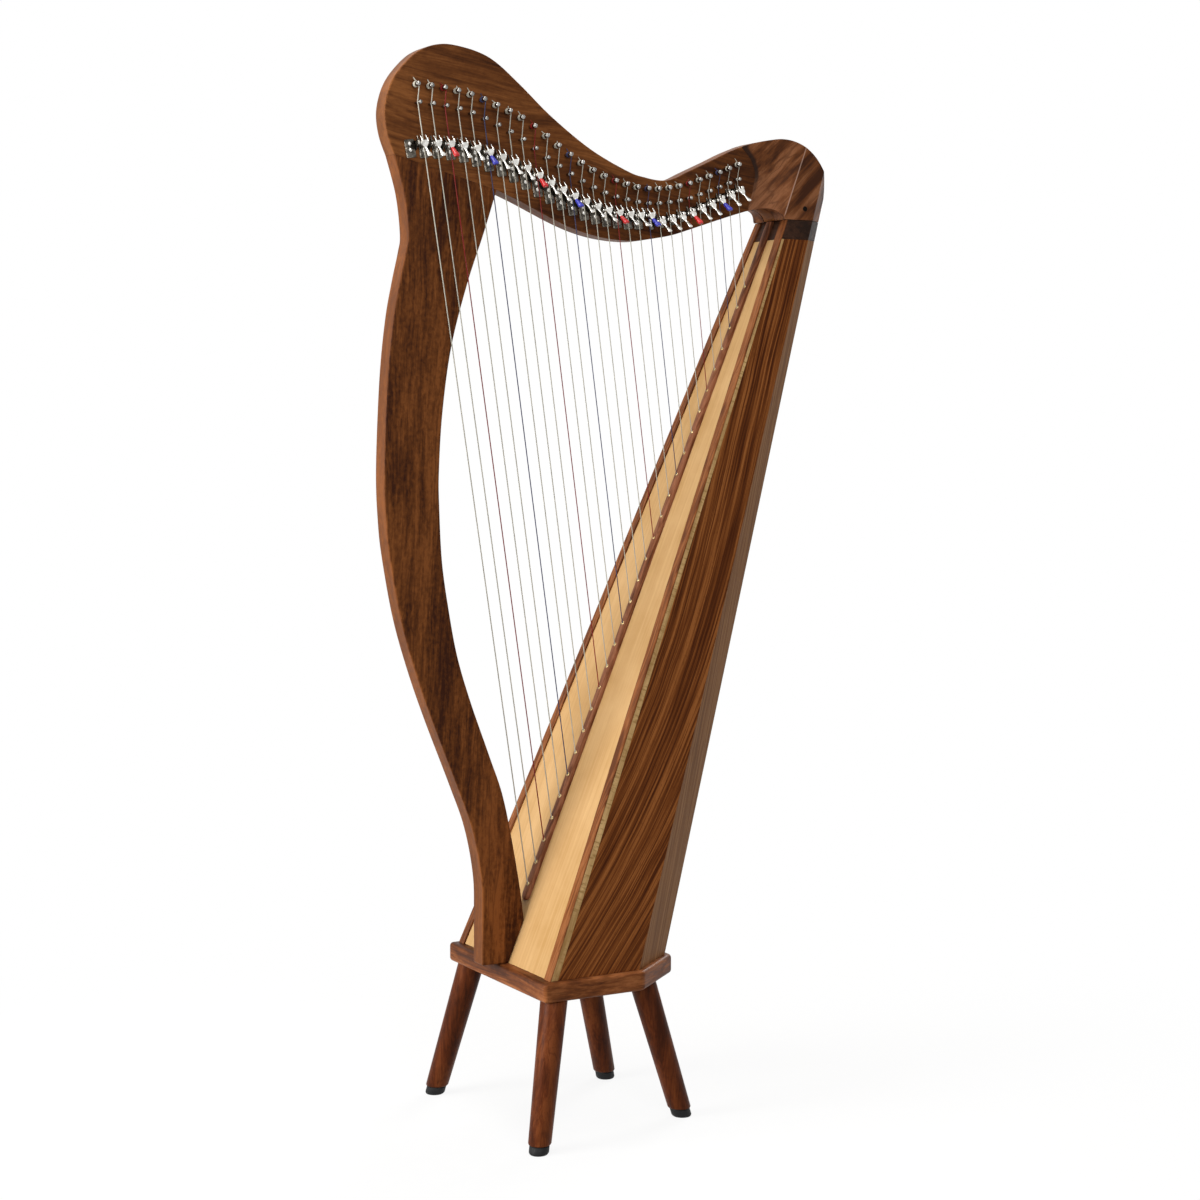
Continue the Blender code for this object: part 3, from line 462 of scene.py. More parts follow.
class Graph(Tree):
    """Node tree of one material, with the steps that its figure is made of."""

    def __init__(self, name: str) -> None:
        """Start a material with a Principled shader alone.

        Args:
            name: Name of the material.
        """
        self.material = bpy.data.materials.new(name)
        self.material.use_nodes = True
        super().__init__(self.material.node_tree)
        self.shader = self.tree.nodes["Principled BSDF"]

    def set(self, **values: object) -> None:
        """Set or link the shader's inputs, underscores in names standing for spaces."""
        for key, value in values.items():
            self.join(value, self.shader.inputs[key.replace("_", " ")])

    def place(self, grain: Triple = UPRIGHT, shift: Triple = (0.0, 0.0, 0.0)) -> Socket:
        """Make object coordinates with the grain turned onto Z.

        Args:
            grain: Direction of the grain in the row frame.
            shift: Offset that sets one piece's figure apart from another's.

        Returns:
            The socket of the turned coordinates.
        """
        source = self.add("TexCoord").outputs["Object"]
        turn = Vector(grain).rotation_difference(Vector(UPRIGHT)).to_euler()
        mapped = self.add("Mapping", {"Vector": source, "Rotation": turn, "Location": shift})
        return mapped.outputs["Vector"]

    def noise(
        self, where: Socket, scale: float, detail: float, roughness: float = 0.55,
        output: str = "Fac",
    ) -> Socket:
        """Add a noise and return one of its outputs."""
        inputs = {"Vector": where, "Scale": scale, "Detail": detail, "Roughness": roughness}
        return self.add("TexNoise", inputs).outputs[output]

    def grained(
        self, where: Socket, stretch: float, scale: float, detail: float,
        roughness: float = 0.55, breadth: float = 1.0,
    ) -> Socket:
        """Add a noise whose figure is drawn out along the grain.

        Args:
            where: Coordinates with the grain on Z.
            stretch: How much longer the figure is along the grain.
            scale: Scale of the noise across the grain.
            detail: Detail of the noise.
            roughness: Roughness of the noise.
            breadth: How much broader the figure is along X.

        Returns:
            The socket of the noise.
        """
        size = (1.0 / breadth, 1.0, 1.0 / stretch)
        drawn = self.add("Mapping", {"Vector": where, "Scale": size})
        return self.noise(drawn.outputs["Vector"], scale, detail, roughness)

    def pores(self, where: Socket, stretch: float, scale: float) -> Socket:
        """Mark a timber's open pores with 1, and the wood between them with 0."""
        return self.fit(self.grained(where, stretch, scale, 1.0), 0.6, 0.7)

    def weigh(self, parts: list[tuple[Socket, float]]) -> Socket:
        """Add up values by their weights.

        Args:
            parts: Pairs of value and weight.

        Returns:
            The socket of the sum.
        """
        total = self.math("MULTIPLY", *parts[0])
        for value, weight in parts[1:]:
            total = self.math("MULTIPLY_ADD", value, weight, total)
        return total

    def fit(
        self, value: Socket, low: float, high: float, to_low: float = 0.0, to_high: float = 1.0
    ) -> Socket:
        """Map a range of values onto another, and clamp it."""
        ends = {"From Min": low, "From Max": high, "To Min": to_low, "To Max": to_high}
        return self.add("MapRange", {"Value": value, **ends}).outputs["Result"]

    def ramp(self, value: Socket, stops: list[tuple[float, Colour]]) -> Socket:
        """Colour a value.

        Args:
            value: Value from 0 to 1.
            stops: Pairs of place and colour, in rising order of place.

        Returns:
            The socket of the colour.
        """
        node = self.add("ValToRGB", {"Fac": value})
        elements = node.color_ramp.elements
        while len(elements) < len(stops):
            elements.new(0.5)
        for element, (place, colour) in zip(elements, stops):
            element.position = place
            element.color = (*colour, 1.0)
        return node.outputs["Color"]

    def mix(self, share: object, a: object, b: object) -> Socket:
        """Mix two colours, sockets or three numbers each, by the share of the second."""
        a, b = ((*tone, 1.0) if isinstance(tone, tuple) else tone for tone in (a, b))
        return self.add("Mix", {0: share, 6: a, 7: b}, data_type="RGBA").outputs[2]

    def stain(self, colour: Socket, share: Socket, weight: float, tone: Colour) -> Socket:
        """Mix a tone into a colour by a share times a weight."""
        return self.mix(self.math("MULTIPLY", share, weight), colour, tone)

    def wandering(self, where: Socket, scale: float, amount: float) -> Socket:
        """Shift coordinates by a slow noise.

        Args:
            where: The coordinates.
            scale: Scale of the noise.
            amount: Furthest shift in metres, both ways together.

        Returns:
            The socket of the shifted coordinates.
        """
        drift = self.noise(where, scale, 2.0, 0.5, "Color")
        centred = self.add("VectorMath", {0: drift, 1: (0.5, 0.5, 0.5)}, operation="SUBTRACT")
        scaled = self.add(
            "VectorMath", {0: centred.outputs[0], "Scale": amount}, operation="SCALE")
        return self.add("VectorMath", {0: where, 1: scaled.outputs[0]}).outputs[0]

    def bump(self, height: Socket, strength: float, distance: float) -> None:
        """Raise the surface by a height."""
        node = self.add("Bump", {"Height": height, "Strength": strength, "Distance": distance})
        self.set(Normal=node.outputs["Normal"])


@dataclass(frozen=True)
class PaintedLine:
    """Line that a plane draws on a surface: a painted highlight along a ridge, or painted shade
    along a crease.
    """

    normal: Triple
    offset: float
    half_width: float
    colour: Colour
    strength: float
    # Heights between which the line fades in.
    fade: Pair = (-1.0, 0.0)

    def paint(self, graph: Graph, colour: Socket) -> Socket:
        """Draw the line over a colour.

        Args:
            graph: The material that has the line.
            colour: Its colour so far.

        Returns:
            The socket of the colour with the line.
        """
        source = graph.add("TexCoord").outputs["Object"]
        run = graph.add("VectorMath", {0: source, 1: self.normal}, operation="DOT_PRODUCT")
        off = graph.math("ABSOLUTE", graph.math("SUBTRACT", run.outputs["Value"], self.offset))
        share = graph.fit(off, 0.5 * self.half_width, self.half_width, self.strength, 0.0)
        height = graph.add("SeparateXYZ", {0: source}).outputs[2]
        share = graph.math("MULTIPLY", share, graph.fit(height, *self.fade))
        return graph.mix(share, colour, self.colour)


@dataclass(frozen=True)
class Tones:
    """Dark, middle and light tone of a figured timber."""

    dark: Colour
    middle: Colour
    light: Colour

    def paint(self, graph: Graph, figure: Socket, centre: float, contrast: float) -> Socket:
        """Colour a figure, with the middle tone where it has the value of centre."""
        places = (centre - contrast, centre, centre + contrast)
        return graph.ramp(figure, list(zip(places, (self.dark, self.middle, self.light))))


@dataclass(frozen=True)
class Timber:
    """Solid figured timber under satin lacquer."""

    name: str
    tones: Tones
    grain: Triple = UPRIGHT
    shift: Triple = (0.0, 0.0, 0.0)
    # Share of each kind of figure.
    bands: float = 0.42
    rings: float = 0.1
    streaks: float = 0.26
    curl: float = 0.08
    lines: float = 0.16
    band_scale: float = 30.0
    ring_count: float = 14.0
    streak_scale: float = 120.0
    curl_scale: float = 240.0
    line_scale: float = 420.0
    vein: float = 0.5
    wander: float = 0.03
    contrast: float = 0.085
    breadth: float = 1.0
    roughness: float = 0.42
    specular: float = 0.08
    relief: float = 0.08
    # Painted light: how far the faces that look along X or Z are mixed towards the light tone, so
    # they read lighter than faces that look along Y.
    rim: float = 0.0
    # Lines of painted highlight and painted shade drawn over the figure.
    painted_lines: tuple[PaintedLine, ...] = ()

    def make(self) -> Material:
        """Build the timber's material.

        Returns:
            The material.
        """
        graph = Graph(self.name)
        tones = self.tones
        where = graph.place(self.grain, self.shift)
        wide = self.breadth
        bent = graph.wandering(where, scale=4.0, amount=self.wander)
        curly = graph.wandering(where, scale=90.0, amount=0.006)
        bands = graph.grained(
            bent, stretch=7.0, scale=self.band_scale, detail=2.0, roughness=0.5, breadth=wide)
        wave = graph.math("SINE", graph.math("MULTIPLY", bands, 2 * math.pi * self.ring_count))
        rings = graph.math("MULTIPLY_ADD", wave, 0.5, 0.5)
        streaks = graph.grained(
            bent, stretch=14.0, scale=self.streak_scale, detail=3.0, roughness=0.55, breadth=wide)
        curl = graph.grained(
            curly, stretch=1.6, scale=self.curl_scale, detail=3.0, roughness=0.6, breadth=wide)
        lines = graph.grained(
            bent, stretch=30.0, scale=self.line_scale, detail=2.0, roughness=0.55, breadth=wide)
        figure = graph.weigh([
            (bands, self.bands), (rings, self.rings), (streaks, self.streaks),
            (curl, self.curl), (lines, self.lines),
        ])
        centre = 0.5 * (self.bands + self.rings + self.streaks + self.curl + self.lines)
        colour = tones.paint(graph, figure, centre, self.contrast)
        vein = graph.grained(
            bent, stretch=12.0, scale=0.5 * self.streak_scale, detail=2.0, roughness=0.5,
            breadth=wide)
        ridge = graph.math("ABSOLUTE", graph.math("SUBTRACT", vein, 0.5))
        colour = graph.mix(graph.fit(ridge, 0.0, 0.02, self.vein, 0.0), colour, tones.dark)
        pores = graph.pores(where, stretch=24.0, scale=1600.0)
        colour = graph.stain(colour, pores, weight=0.45, tone=tones.dark)
        # Painted light: faces whose normal turns away from Y, the edge faces, are mixed towards the
        # light tone.
        if self.rim:
            facing = graph.add("SeparateXYZ", {0: graph.add("TexCoord").outputs["Normal"]})
            aside = graph.math("ABSOLUTE", facing.outputs[1])
            colour = graph.mix(graph.fit(aside, 0.3, 0.8, self.rim, 0.0), colour, tones.light)
        # Draw the lines of painted highlight and painted shade.
        for painted_line in self.painted_lines:
            colour = painted_line.paint(graph, colour)
        graph.set(
            Base_Color=colour,
            Roughness=graph.fit(lines, 0.35, 0.65, self.roughness - 0.05, self.roughness + 0.08),
            Specular_IOR_Level=self.specular,
        )
        graph.bump(graph.math("SUBTRACT", lines, pores), self.relief, 0.0004)
        return graph.material


@dataclass(frozen=True)
class StripedVeneer:
    """Straight-grained veneer with fine stripes that bend away near the box's foot."""

    name: str
    tones: Tones
    foot: Vector
    grain: Triple
    bend_from: float = 0.55
    bend: float = 0.38
    # How fast the stripes change along Y.
    spread: float = 0.02
    # Stripes of three widths: lines in a metre, and share in the figure.
    stripes: tuple[Pair, Pair, Pair] = ((70.0, 0.15), (350.0, 0.48), (820.0, 0.37))
    contrast: float = 0.082
    roughness: float = 0.42
    specular: float = 0.06

    def make(self) -> Material:
        """Build the veneer's material.

        Returns:
            The material.
        """
        graph = Graph(self.name)
        tones = self.tones
        origin = Vector(self.grain).rotation_difference(Vector(UPRIGHT)) @ self.foot
        where = graph.place(self.grain, tuple(-origin))
        bent = graph.wandering(where, 7.0, 0.006)
        apart = graph.add("SeparateXYZ", {0: bent})
        across, side, along = (apart.outputs[k] for k in range(3))
        below = graph.math("MAXIMUM", graph.math("SUBTRACT", self.bend_from, along), 0.0)
        bowed = graph.math(
            "MULTIPLY_ADD", graph.math("MULTIPLY", below, below), self.bend, across)
        far = graph.math("MULTIPLY", side, self.spread)
        flat = graph.math("MULTIPLY", along, 0.012)
        curved = graph.add("CombineXYZ", {0: bowed, 1: far, 2: flat}).outputs[0]
        parts = [(graph.noise(curved, scale, 2.0), share) for scale, share in self.stripes]
        colour = tones.paint(graph, graph.weigh(parts), 0.5, self.contrast)
        cloud = graph.noise(where, 11.0, 3.0)
        colour = graph.mix(graph.fit(cloud, 0.35, 0.65, 0.0, 0.2), colour, tones.middle)
        pores = graph.pores(bent, stretch=26.0, scale=1500.0)
        colour = graph.stain(colour, pores, weight=0.4, tone=tones.dark)
        finest = parts[-1][0]
        graph.set(
            Base_Color=colour,
            Roughness=graph.fit(finest, 0.35, 0.65, self.roughness, self.roughness + 0.1),
            Specular_IOR_Level=self.specular,
        )
        graph.bump(graph.math("SUBTRACT", finest, pores), 0.08, 0.0003)
        return graph.material


@dataclass(frozen=True)
class PaleBoard:
    """Close-grained pale wood: honey board, maple or birch."""

    name: str
    pale: Colour
    deep: Colour
    grain: Triple = UPRIGHT
    lines: float = 260.0
    line_share: float = 0.45
    flecks: float = 0.15
    # Flecks in a metre across the grain, and how much longer they are along it.
    fleck_scale: float = 900.0
    fleck_length: float = 6.0
    roughness: float = 0.42
    specular: float = 0.12

    def make(self) -> Material:
        """Build the board's material.

        Returns:
            The material.
        """
        graph = Graph(self.name)
        where = graph.place(self.grain)
        bent = graph.wandering(where, 3.0, 0.01)
        lines = graph.grained(bent, 60.0, self.lines, 3.0)
        cloud = graph.noise(where, 14.0, 4.0, 0.6)
        plain = graph.math("MULTIPLY", cloud, 1.0 - self.line_share)
        figure = graph.math("ADD", graph.math("MULTIPLY", lines, self.line_share), plain)
        colour = graph.ramp(figure, [(0.36, self.deep), (0.62, self.pale)])
        flecks = graph.grained(where, self.fleck_length, self.fleck_scale, 2.0)
        colour = graph.stain(colour, graph.fit(flecks, 0.5, 0.66), self.flecks, self.deep)
        graph.set(
            Base_Color=colour,
            Roughness=graph.fit(cloud, 0.3, 0.7, self.roughness - 0.06, self.roughness + 0.06),
            Specular_IOR_Level=self.specular,
        )
        graph.bump(lines, 0.05, 0.0003)
        return graph.material


@dataclass(frozen=True)
class Metal:
    """Plated or turned metal with faint wear."""

    name: str
    bright: Colour
    worn: Colour
    roughness: float = 0.18
    relief: float = 0.03

    def make(self) -> Material:
        """Build the metal's material.

        Returns:
            The material.
        """
        graph = Graph(self.name)
        where = graph.place()
        wear = graph.noise(where, 260.0, 4.0, 0.65)
        graph.set(
            Base_Color=graph.ramp(wear, [(0.38, self.worn), (0.6, self.bright)]),
            Metallic=1.0,
            Roughness=graph.fit(wear, 0.3, 0.7, self.roughness + 0.1, self.roughness - 0.04),
        )
        graph.bump(graph.grained(where, 12.0, 2400.0, 2.0), self.relief, 0.0002)
        return graph.material


@dataclass(frozen=True)
class Filament:
    """Drawn nylon string or moulded sleeve."""

    name: str
    body: Colour
    shade: Colour
    specular: float = 0.2
    coat: float = 0.0
    roughness: float = 0.3

    def make(self) -> Material:
        """Build the filament's material.

        Returns:
            The material.
        """
        graph = Graph(self.name)
        where = graph.place()
        rings = graph.grained(where, 0.25, 320.0, 2.0)
        cloud = graph.noise(where, 60.0, 3.0)
        graph.set(
            Base_Color=graph.mix(graph.fit(cloud, 0.35, 0.65), self.shade, self.body),
            Roughness=graph.fit(rings, 0.3, 0.7, self.roughness - 0.05, self.roughness + 0.1),
            Specular_IOR_Level=self.specular,
            Coat_Weight=self.coat,
            Coat_Roughness=0.12,
        )
        graph.bump(rings, 0.04, 0.0002)
        return graph.material


@dataclass(frozen=True)
class Rubber:
    """Black moulded rubber."""

    name: str = "black_rubber"
    body: Colour = (0.006, 0.006, 0.0065)
    dust: Colour = (0.022, 0.021, 0.02)

    def make(self) -> Material:
        """Build the rubber's material.

        Returns:
            The material.
        """
        graph = Graph(self.name)
        where = graph.place()
        grains = graph.noise(where, 900.0, 3.0)
        dust = graph.noise(where, 70.0, 4.0)
        graph.set(
            Base_Color=graph.mix(graph.fit(dust, 0.45, 0.75, 0.0, 0.7), self.body, self.dust),
            Roughness=graph.fit(grains, 0.3, 0.7, 0.5, 0.7),
            Specular_IOR_Level=0.22,
        )
        graph.bump(grains, 0.15, 0.0003)
        return graph.material


@dataclass(frozen=True)
class Layout:
    """Main lines of the harp in the row frame, which the sub-assemblies share."""

    front: float
    leg_height: float = 0.1699
    base_thickness: float = 0.0236
    board_angle: float = math.radians(67.02)
    board_length: float = 0.9738
    board_setback: float = 0.0097
    foot_half_width: float = 0.1197
    top_half_width: float = 0.0354
    foot_side_depth: float = 0.1205
    top_side_depth: float = 0.0395
    foot_back_depth: float = 0.1896
    top_back_depth: float = 0.059
    facet_angle: float = math.radians(39.2)
    trim_thickness: float = 0.002
    board_thickness: float = 0.004
    end_block_height: float = 0.024
    half_timber: float = 0.0125
    timber_round: float = 0.0018

    @property
    def base_top(self) -> float:
        """Height of the base plate's top."""
        return self.leg_height + self.base_thickness

    @property
    def foot(self) -> Vector:
        """Lower end of the board's front line."""
        return Vector((self.front + self.board_setback, 0.0, self.base_top))

    @property
    def up(self) -> Vector:
        """Direction up the board."""
        return Vector((math.cos(self.board_angle), 0.0, math.sin(self.board_angle)))

    @property
    def out(self) -> Vector:
        """Direction square to the board, away from the box."""
        return Vector((-math.sin(self.board_angle), 0.0, math.cos(self.board_angle)))

    @property
    def shoulder(self) -> Vector:
        """Point where the board's front line meets the joint under the neck."""
        return self.foot + self.board_length * self.up

    @property
    def panel_top(self) -> float:
        """Height of the box's panels."""
        return self.shoulder.z - self.end_block_height

    @property
    def board_face(self) -> float:
        """X run from the front line to the soundboard's face."""
        return (self.trim_thickness + GAP) / math.sin(self.board_angle)

    def on_board(self, along: float, across: float = 0.0, out: float = 0.0) -> Vector:
        """Return a point by its run up the board, Y and height off the front plane."""
        return self.foot + along * self.up + out * self.out + Vector((0.0, across, 0.0))

    def from_shoulder(self, pairs: Sequence[Pair]) -> list[Pair]:
        """Turn (X, Z) pairs measured from the shoulder point into row coordinates."""
        return [(self.shoulder.x + x, self.shoulder.z + z) for x, z in pairs]

    def between(self, foot: float, top: float, z: float) -> float:
        """Return a box size at a height, from its sizes at foot and joint."""
        return foot + (top - foot) * (z - self.base_top) / (self.shoulder.z - self.base_top)

    def front_x(self, z: float) -> float:
        """Return X of the front plane at a height."""
        return self.foot.x + (z - self.base_top) / math.tan(self.board_angle)

    def half_width(self, z: float) -> float:
        """Return the box's half width at a height."""
        return self.between(self.foot_half_width, self.top_half_width, z)

    def side_x(self, z: float) -> float:
        """Return X of the corner between side and facet at a height."""
        return self.front_x(z) + self.between(self.foot_side_depth, self.top_side_depth, z)

    def back_x(self, z: float) -> float:
        """Return X of the flat back at a height."""
        return self.front_x(z) + self.between(self.foot_back_depth, self.top_back_depth, z)

    def back_half_width(self, z: float) -> float:
        """Return the half width of the flat back at a height."""
        run = self.back_x(z) - self.side_x(z)
        return self.half_width(z) - run * math.tan(self.facet_angle)


class Finishes:
    """Every finish on the harp, made once."""

    def __init__(self, layout: Layout) -> None:
        """Make the materials.

        Args:
            layout: The harp's main lines, which the grain follows.
        """
        up = tuple(layout.up)
        # Pillar and neck carry painted light on their edge faces.
        self.pillar = Timber("rosewood_pillar", Tones(
            (0.036, 0.009, 0.003), (0.112, 0.034, 0.008), (0.215, 0.07, 0.018),
        ), grain=(0.06, 0.0, 1.0), bands=0.28, rings=0.03, streaks=0.3, curl=0.22, rim=0.45).make()
        self.neck = Timber("rosewood_neck", Tones(
            (0.036, 0.01, 0.003), (0.122, 0.039, 0.01), (0.245, 0.088, 0.025),
        ), grain=(1.0, 0.0, -0.12), shift=(0.3, 0.2, 0.1), rings=0.03, band_scale=20.0,
            streak_scale=90.0, wander=0.04, contrast=0.09, rim=0.42).make()
        self.cheek = Timber("rosewood_shoulder", Tones(
            (0.046, 0.014, 0.005), (0.142, 0.047, 0.015), (0.262, 0.104, 0.044),
        ), grain=(0.7, 0.0, 0.71), shift=(0.1, 0.4, 0.2), bands=0.66, rings=0.0,
            streaks=0.16, curl=0.05, band_scale=64.0, contrast=0.09,
            painted_lines=self.cheek_painted_lines(layout)).make()
        self.base = Timber("rosewood_base", Tones(
            (0.06, 0.017, 0.005), (0.18, 0.055, 0.016), (0.35, 0.125, 0.042),
        ), grain=CROSSWISE, shift=(0.5, 0.1, 0.3), breadth=6.0, rings=0.03, contrast=0.075).make()
        self.legs = Timber("rosewood_legs", Tones(
            (0.045, 0.01, 0.0025), (0.1, 0.023, 0.006), (0.165, 0.044, 0.012),
        ), shift=(0.7, 0.3, 0.2), band_scale=50.0, rings=0.03).make()
        self.rib = Timber("rosewood_rib", Tones(
            (0.08, 0.026, 0.011), (0.18, 0.062, 0.027), (0.27, 0.105, 0.052),
        ), grain=up, shift=(0.2, 0.6, 0.0), streak_scale=260.0).make()
        self.trim = Timber("rosewood_trim", Tones(
            (0.095, 0.028, 0.008), (0.195, 0.063, 0.019), (0.28, 0.104, 0.036),
        ), grain=up, shift=(0.9, 0.6, 0.0), streak_scale=260.0).make()
        edge_run = layout.side_x(layout.shoulder.z) - layout.side_x(layout.base_top)
        edge_rise = layout.shoulder.z - layout.base_top
        self.veneer = StripedVeneer("rosewood_veneer_side", Tones(
            (0.052, 0.011, 0.002), (0.172, 0.05, 0.011), (0.335, 0.117, 0.031),
        ), foot=layout.foot, grain=(edge_run / edge_rise, 0.0, 1.0)).make()
        self.back = StripedVeneer("rosewood_veneer_back", Tones(
            (0.185, 0.078, 0.026), (0.285, 0.13, 0.048), (0.37, 0.182, 0.076),
        ), foot=layout.foot, grain=(0.2, 0.0, 1.0), bend=0.0, spread=1.0, specular=0.03,
            contrast=0.05).make()
        self.dark_block = Timber("rosewood_end_block", Tones(
            (0.016, 0.007, 0.004), (0.036, 0.015, 0.008), (0.06, 0.026, 0.015),
        ), grain=CROSSWISE, shift=(0.2, 0.1, 0.0), rings=0.0).make()
        self.plug = Timber("ebony_plug", Tones(
            (0.004, 0.003, 0.002), (0.008, 0.006, 0.005), (0.014, 0.01, 0.008),
        ), grain=CROSSWISE, rings=0.0, specular=0.03).make()
        self.spruce = PaleBoard(
            "spruce_soundboard", (0.57, 0.357, 0.163), (0.46, 0.265, 0.098), grain=up,
            fleck_scale=300.0).make()
        self.maple = PaleBoard(
            "maple_edge", (0.66, 0.43, 0.19), (0.34, 0.19, 0.066), grain=up, flecks=0.85,
            fleck_scale=70.0, fleck_length=0.2).make()
        self.birch = PaleBoard(
            "birch_inside", (0.6, 0.44, 0.27), (0.46, 0.32, 0.18), grain=CROSSWISE).make()
        self.nickel = Metal(
            "nickel_bright", (0.8, 0.79, 0.75), (0.58, 0.56, 0.52), roughness=0.16).make()
        self.pin = Metal(
            "nickel_pin", (0.36, 0.35, 0.33), (0.15, 0.145, 0.135), roughness=0.13).make()
        self.plate = Metal(
            "nickel_plate", (0.15, 0.136, 0.114), (0.032, 0.028, 0.023), roughness=0.22).make()
        self.brass = Metal(
            "brass_eyelet", (0.6, 0.46, 0.24), (0.4, 0.28, 0.12), roughness=0.22).make()
        self.strings = {
            Tint.CLEAR: Filament("nylon_clear", (0.52, 0.495, 0.42), (0.42, 0.4, 0.335)).make(),
            Tint.RED: Filament("nylon_red", (0.23, 0.007, 0.005), (0.17, 0.005, 0.004)).make(),
            Tint.BLUE: Filament("nylon_blue", (0.045, 0.05, 0.12), (0.025, 0.027, 0.07)).make(),
        }
        paint = {"specular": 0.4, "coat": 0.15}
        self.sleeves = {
            Tint.RED: Filament(
                "sleeve_red", (0.66, 0.02, 0.022), (0.46, 0.012, 0.014), **paint).make(),
            Tint.BLUE: Filament(
                "sleeve_blue", (0.05, 0.06, 0.56), (0.025, 0.025, 0.32), **paint).make(),
        }
        self.rubber = Rubber().make()

    @staticmethod
    def cheek_painted_lines(layout: Layout) -> tuple[PaintedLine, ...]:
        """Make the painted highlight along the ridge beside a cheek's scoop, and the painted shade
        along the creases against the neck.

        Args:
            layout: The harp's main lines.

        Returns:
            The ridge's painted highlight and both lines of painted shade.
        """
        joint = layout.shoulder.z
        foot, head = (Vector(end) for end in layout.from_shoulder(Neck.scoop_outer))
        run = (head - foot).normalized()
        # Painted highlight: a thin light line along the ridge between the scoop and the cheek's
        # side.
        ridge = PaintedLine(
            normal=(run.y, 0.0, -run.x), offset=run.y * foot.x - run.x * foot.y,
            half_width=0.0009, colour=(0.55, 0.36, 0.28), strength=0.5,
            fade=(joint + 0.003, joint + 0.008))
        # Painted shade: dark lines on each cheek where its scoop meets the neck's face, fading in
        # towards the top.
        left_crease_shade, right_crease_shade = (
            PaintedLine(
                normal=(0.0, way, 0.0), offset=layout.half_timber + 2 * GAP,
                half_width=0.0013, colour=(0.016, 0.008, 0.006), strength=0.9,
                fade=(joint + 0.02, joint + 0.055))
            for way in (1.0, -1.0)
        )
        return ridge, left_crease_shade, right_crease_shade


@dataclass
class Part:
    """Sub-assembly of the harp, which knows its main lines and its finishes."""

    layout: Layout
    finishes: Finishes

    def board(self, name: str, outline: list[Pair], joint: tuple[Pair, Pair]) -> Item:
        """Cut a curved board from thick timber, and round its edges.

        Args:
            name: Name of the new object.
            outline: Its outline in (X, Z).
            joint: Ends in (X, Z) of its glued joint, which stays sharp.

        Returns:
            The new object.
        """
        half = self.layout.half_timber
        item = bare_object(name, prism(outline, -half, half))
        round_edges(item, self.layout.timber_round, segments=3, angle=60.0, joint=joint)
        return item


@dataclass
class BasePlate(Part):
    """Base plate with canted back corners."""

    side_overhang: float = 0.0077
    back_overhang: float = 0.0087
    corner_overhang: float = 0.0023
    edge_round: float = 0.0045

    @property
    def half_width(self) -> float:
        """Half width of the plate."""
        return self.layout.foot_half_width + self.side_overhang

    @property
    def depth(self) -> float:
        """Depth of the plate from front to back."""
        return self.layout.board_setback + self.layout.foot_back_depth + self.back_overhang

    @property
    def side_length(self) -> float:
        """Run of the plate's straight side."""
        return self.layout.board_setback + self.layout.foot_side_depth + self.corner_overhang

    def build(self) -> None:
        """Build and dress the plate."""
        canted = (self.depth - self.side_length) * math.tan(self.layout.facet_angle)
        half = [
            (0.0, self.half_width), (self.side_length, self.half_width),
            (self.depth, self.half_width - canted),
        ]
        outline = [*half, *((x, -y) for x, y in reversed(half))]
        rings = [
            [Vector((self.layout.front + x, y, z)) for x, y in outline]
            for z in (self.layout.leg_height, self.layout.base_top)
        ]
        plate = bare_object("base_plate_rounded", loft(rings))
        round_edges(plate, self.edge_round, segments=4, angle=30.0)
        dress(plate, self.finishes.base, ("base_plate",))


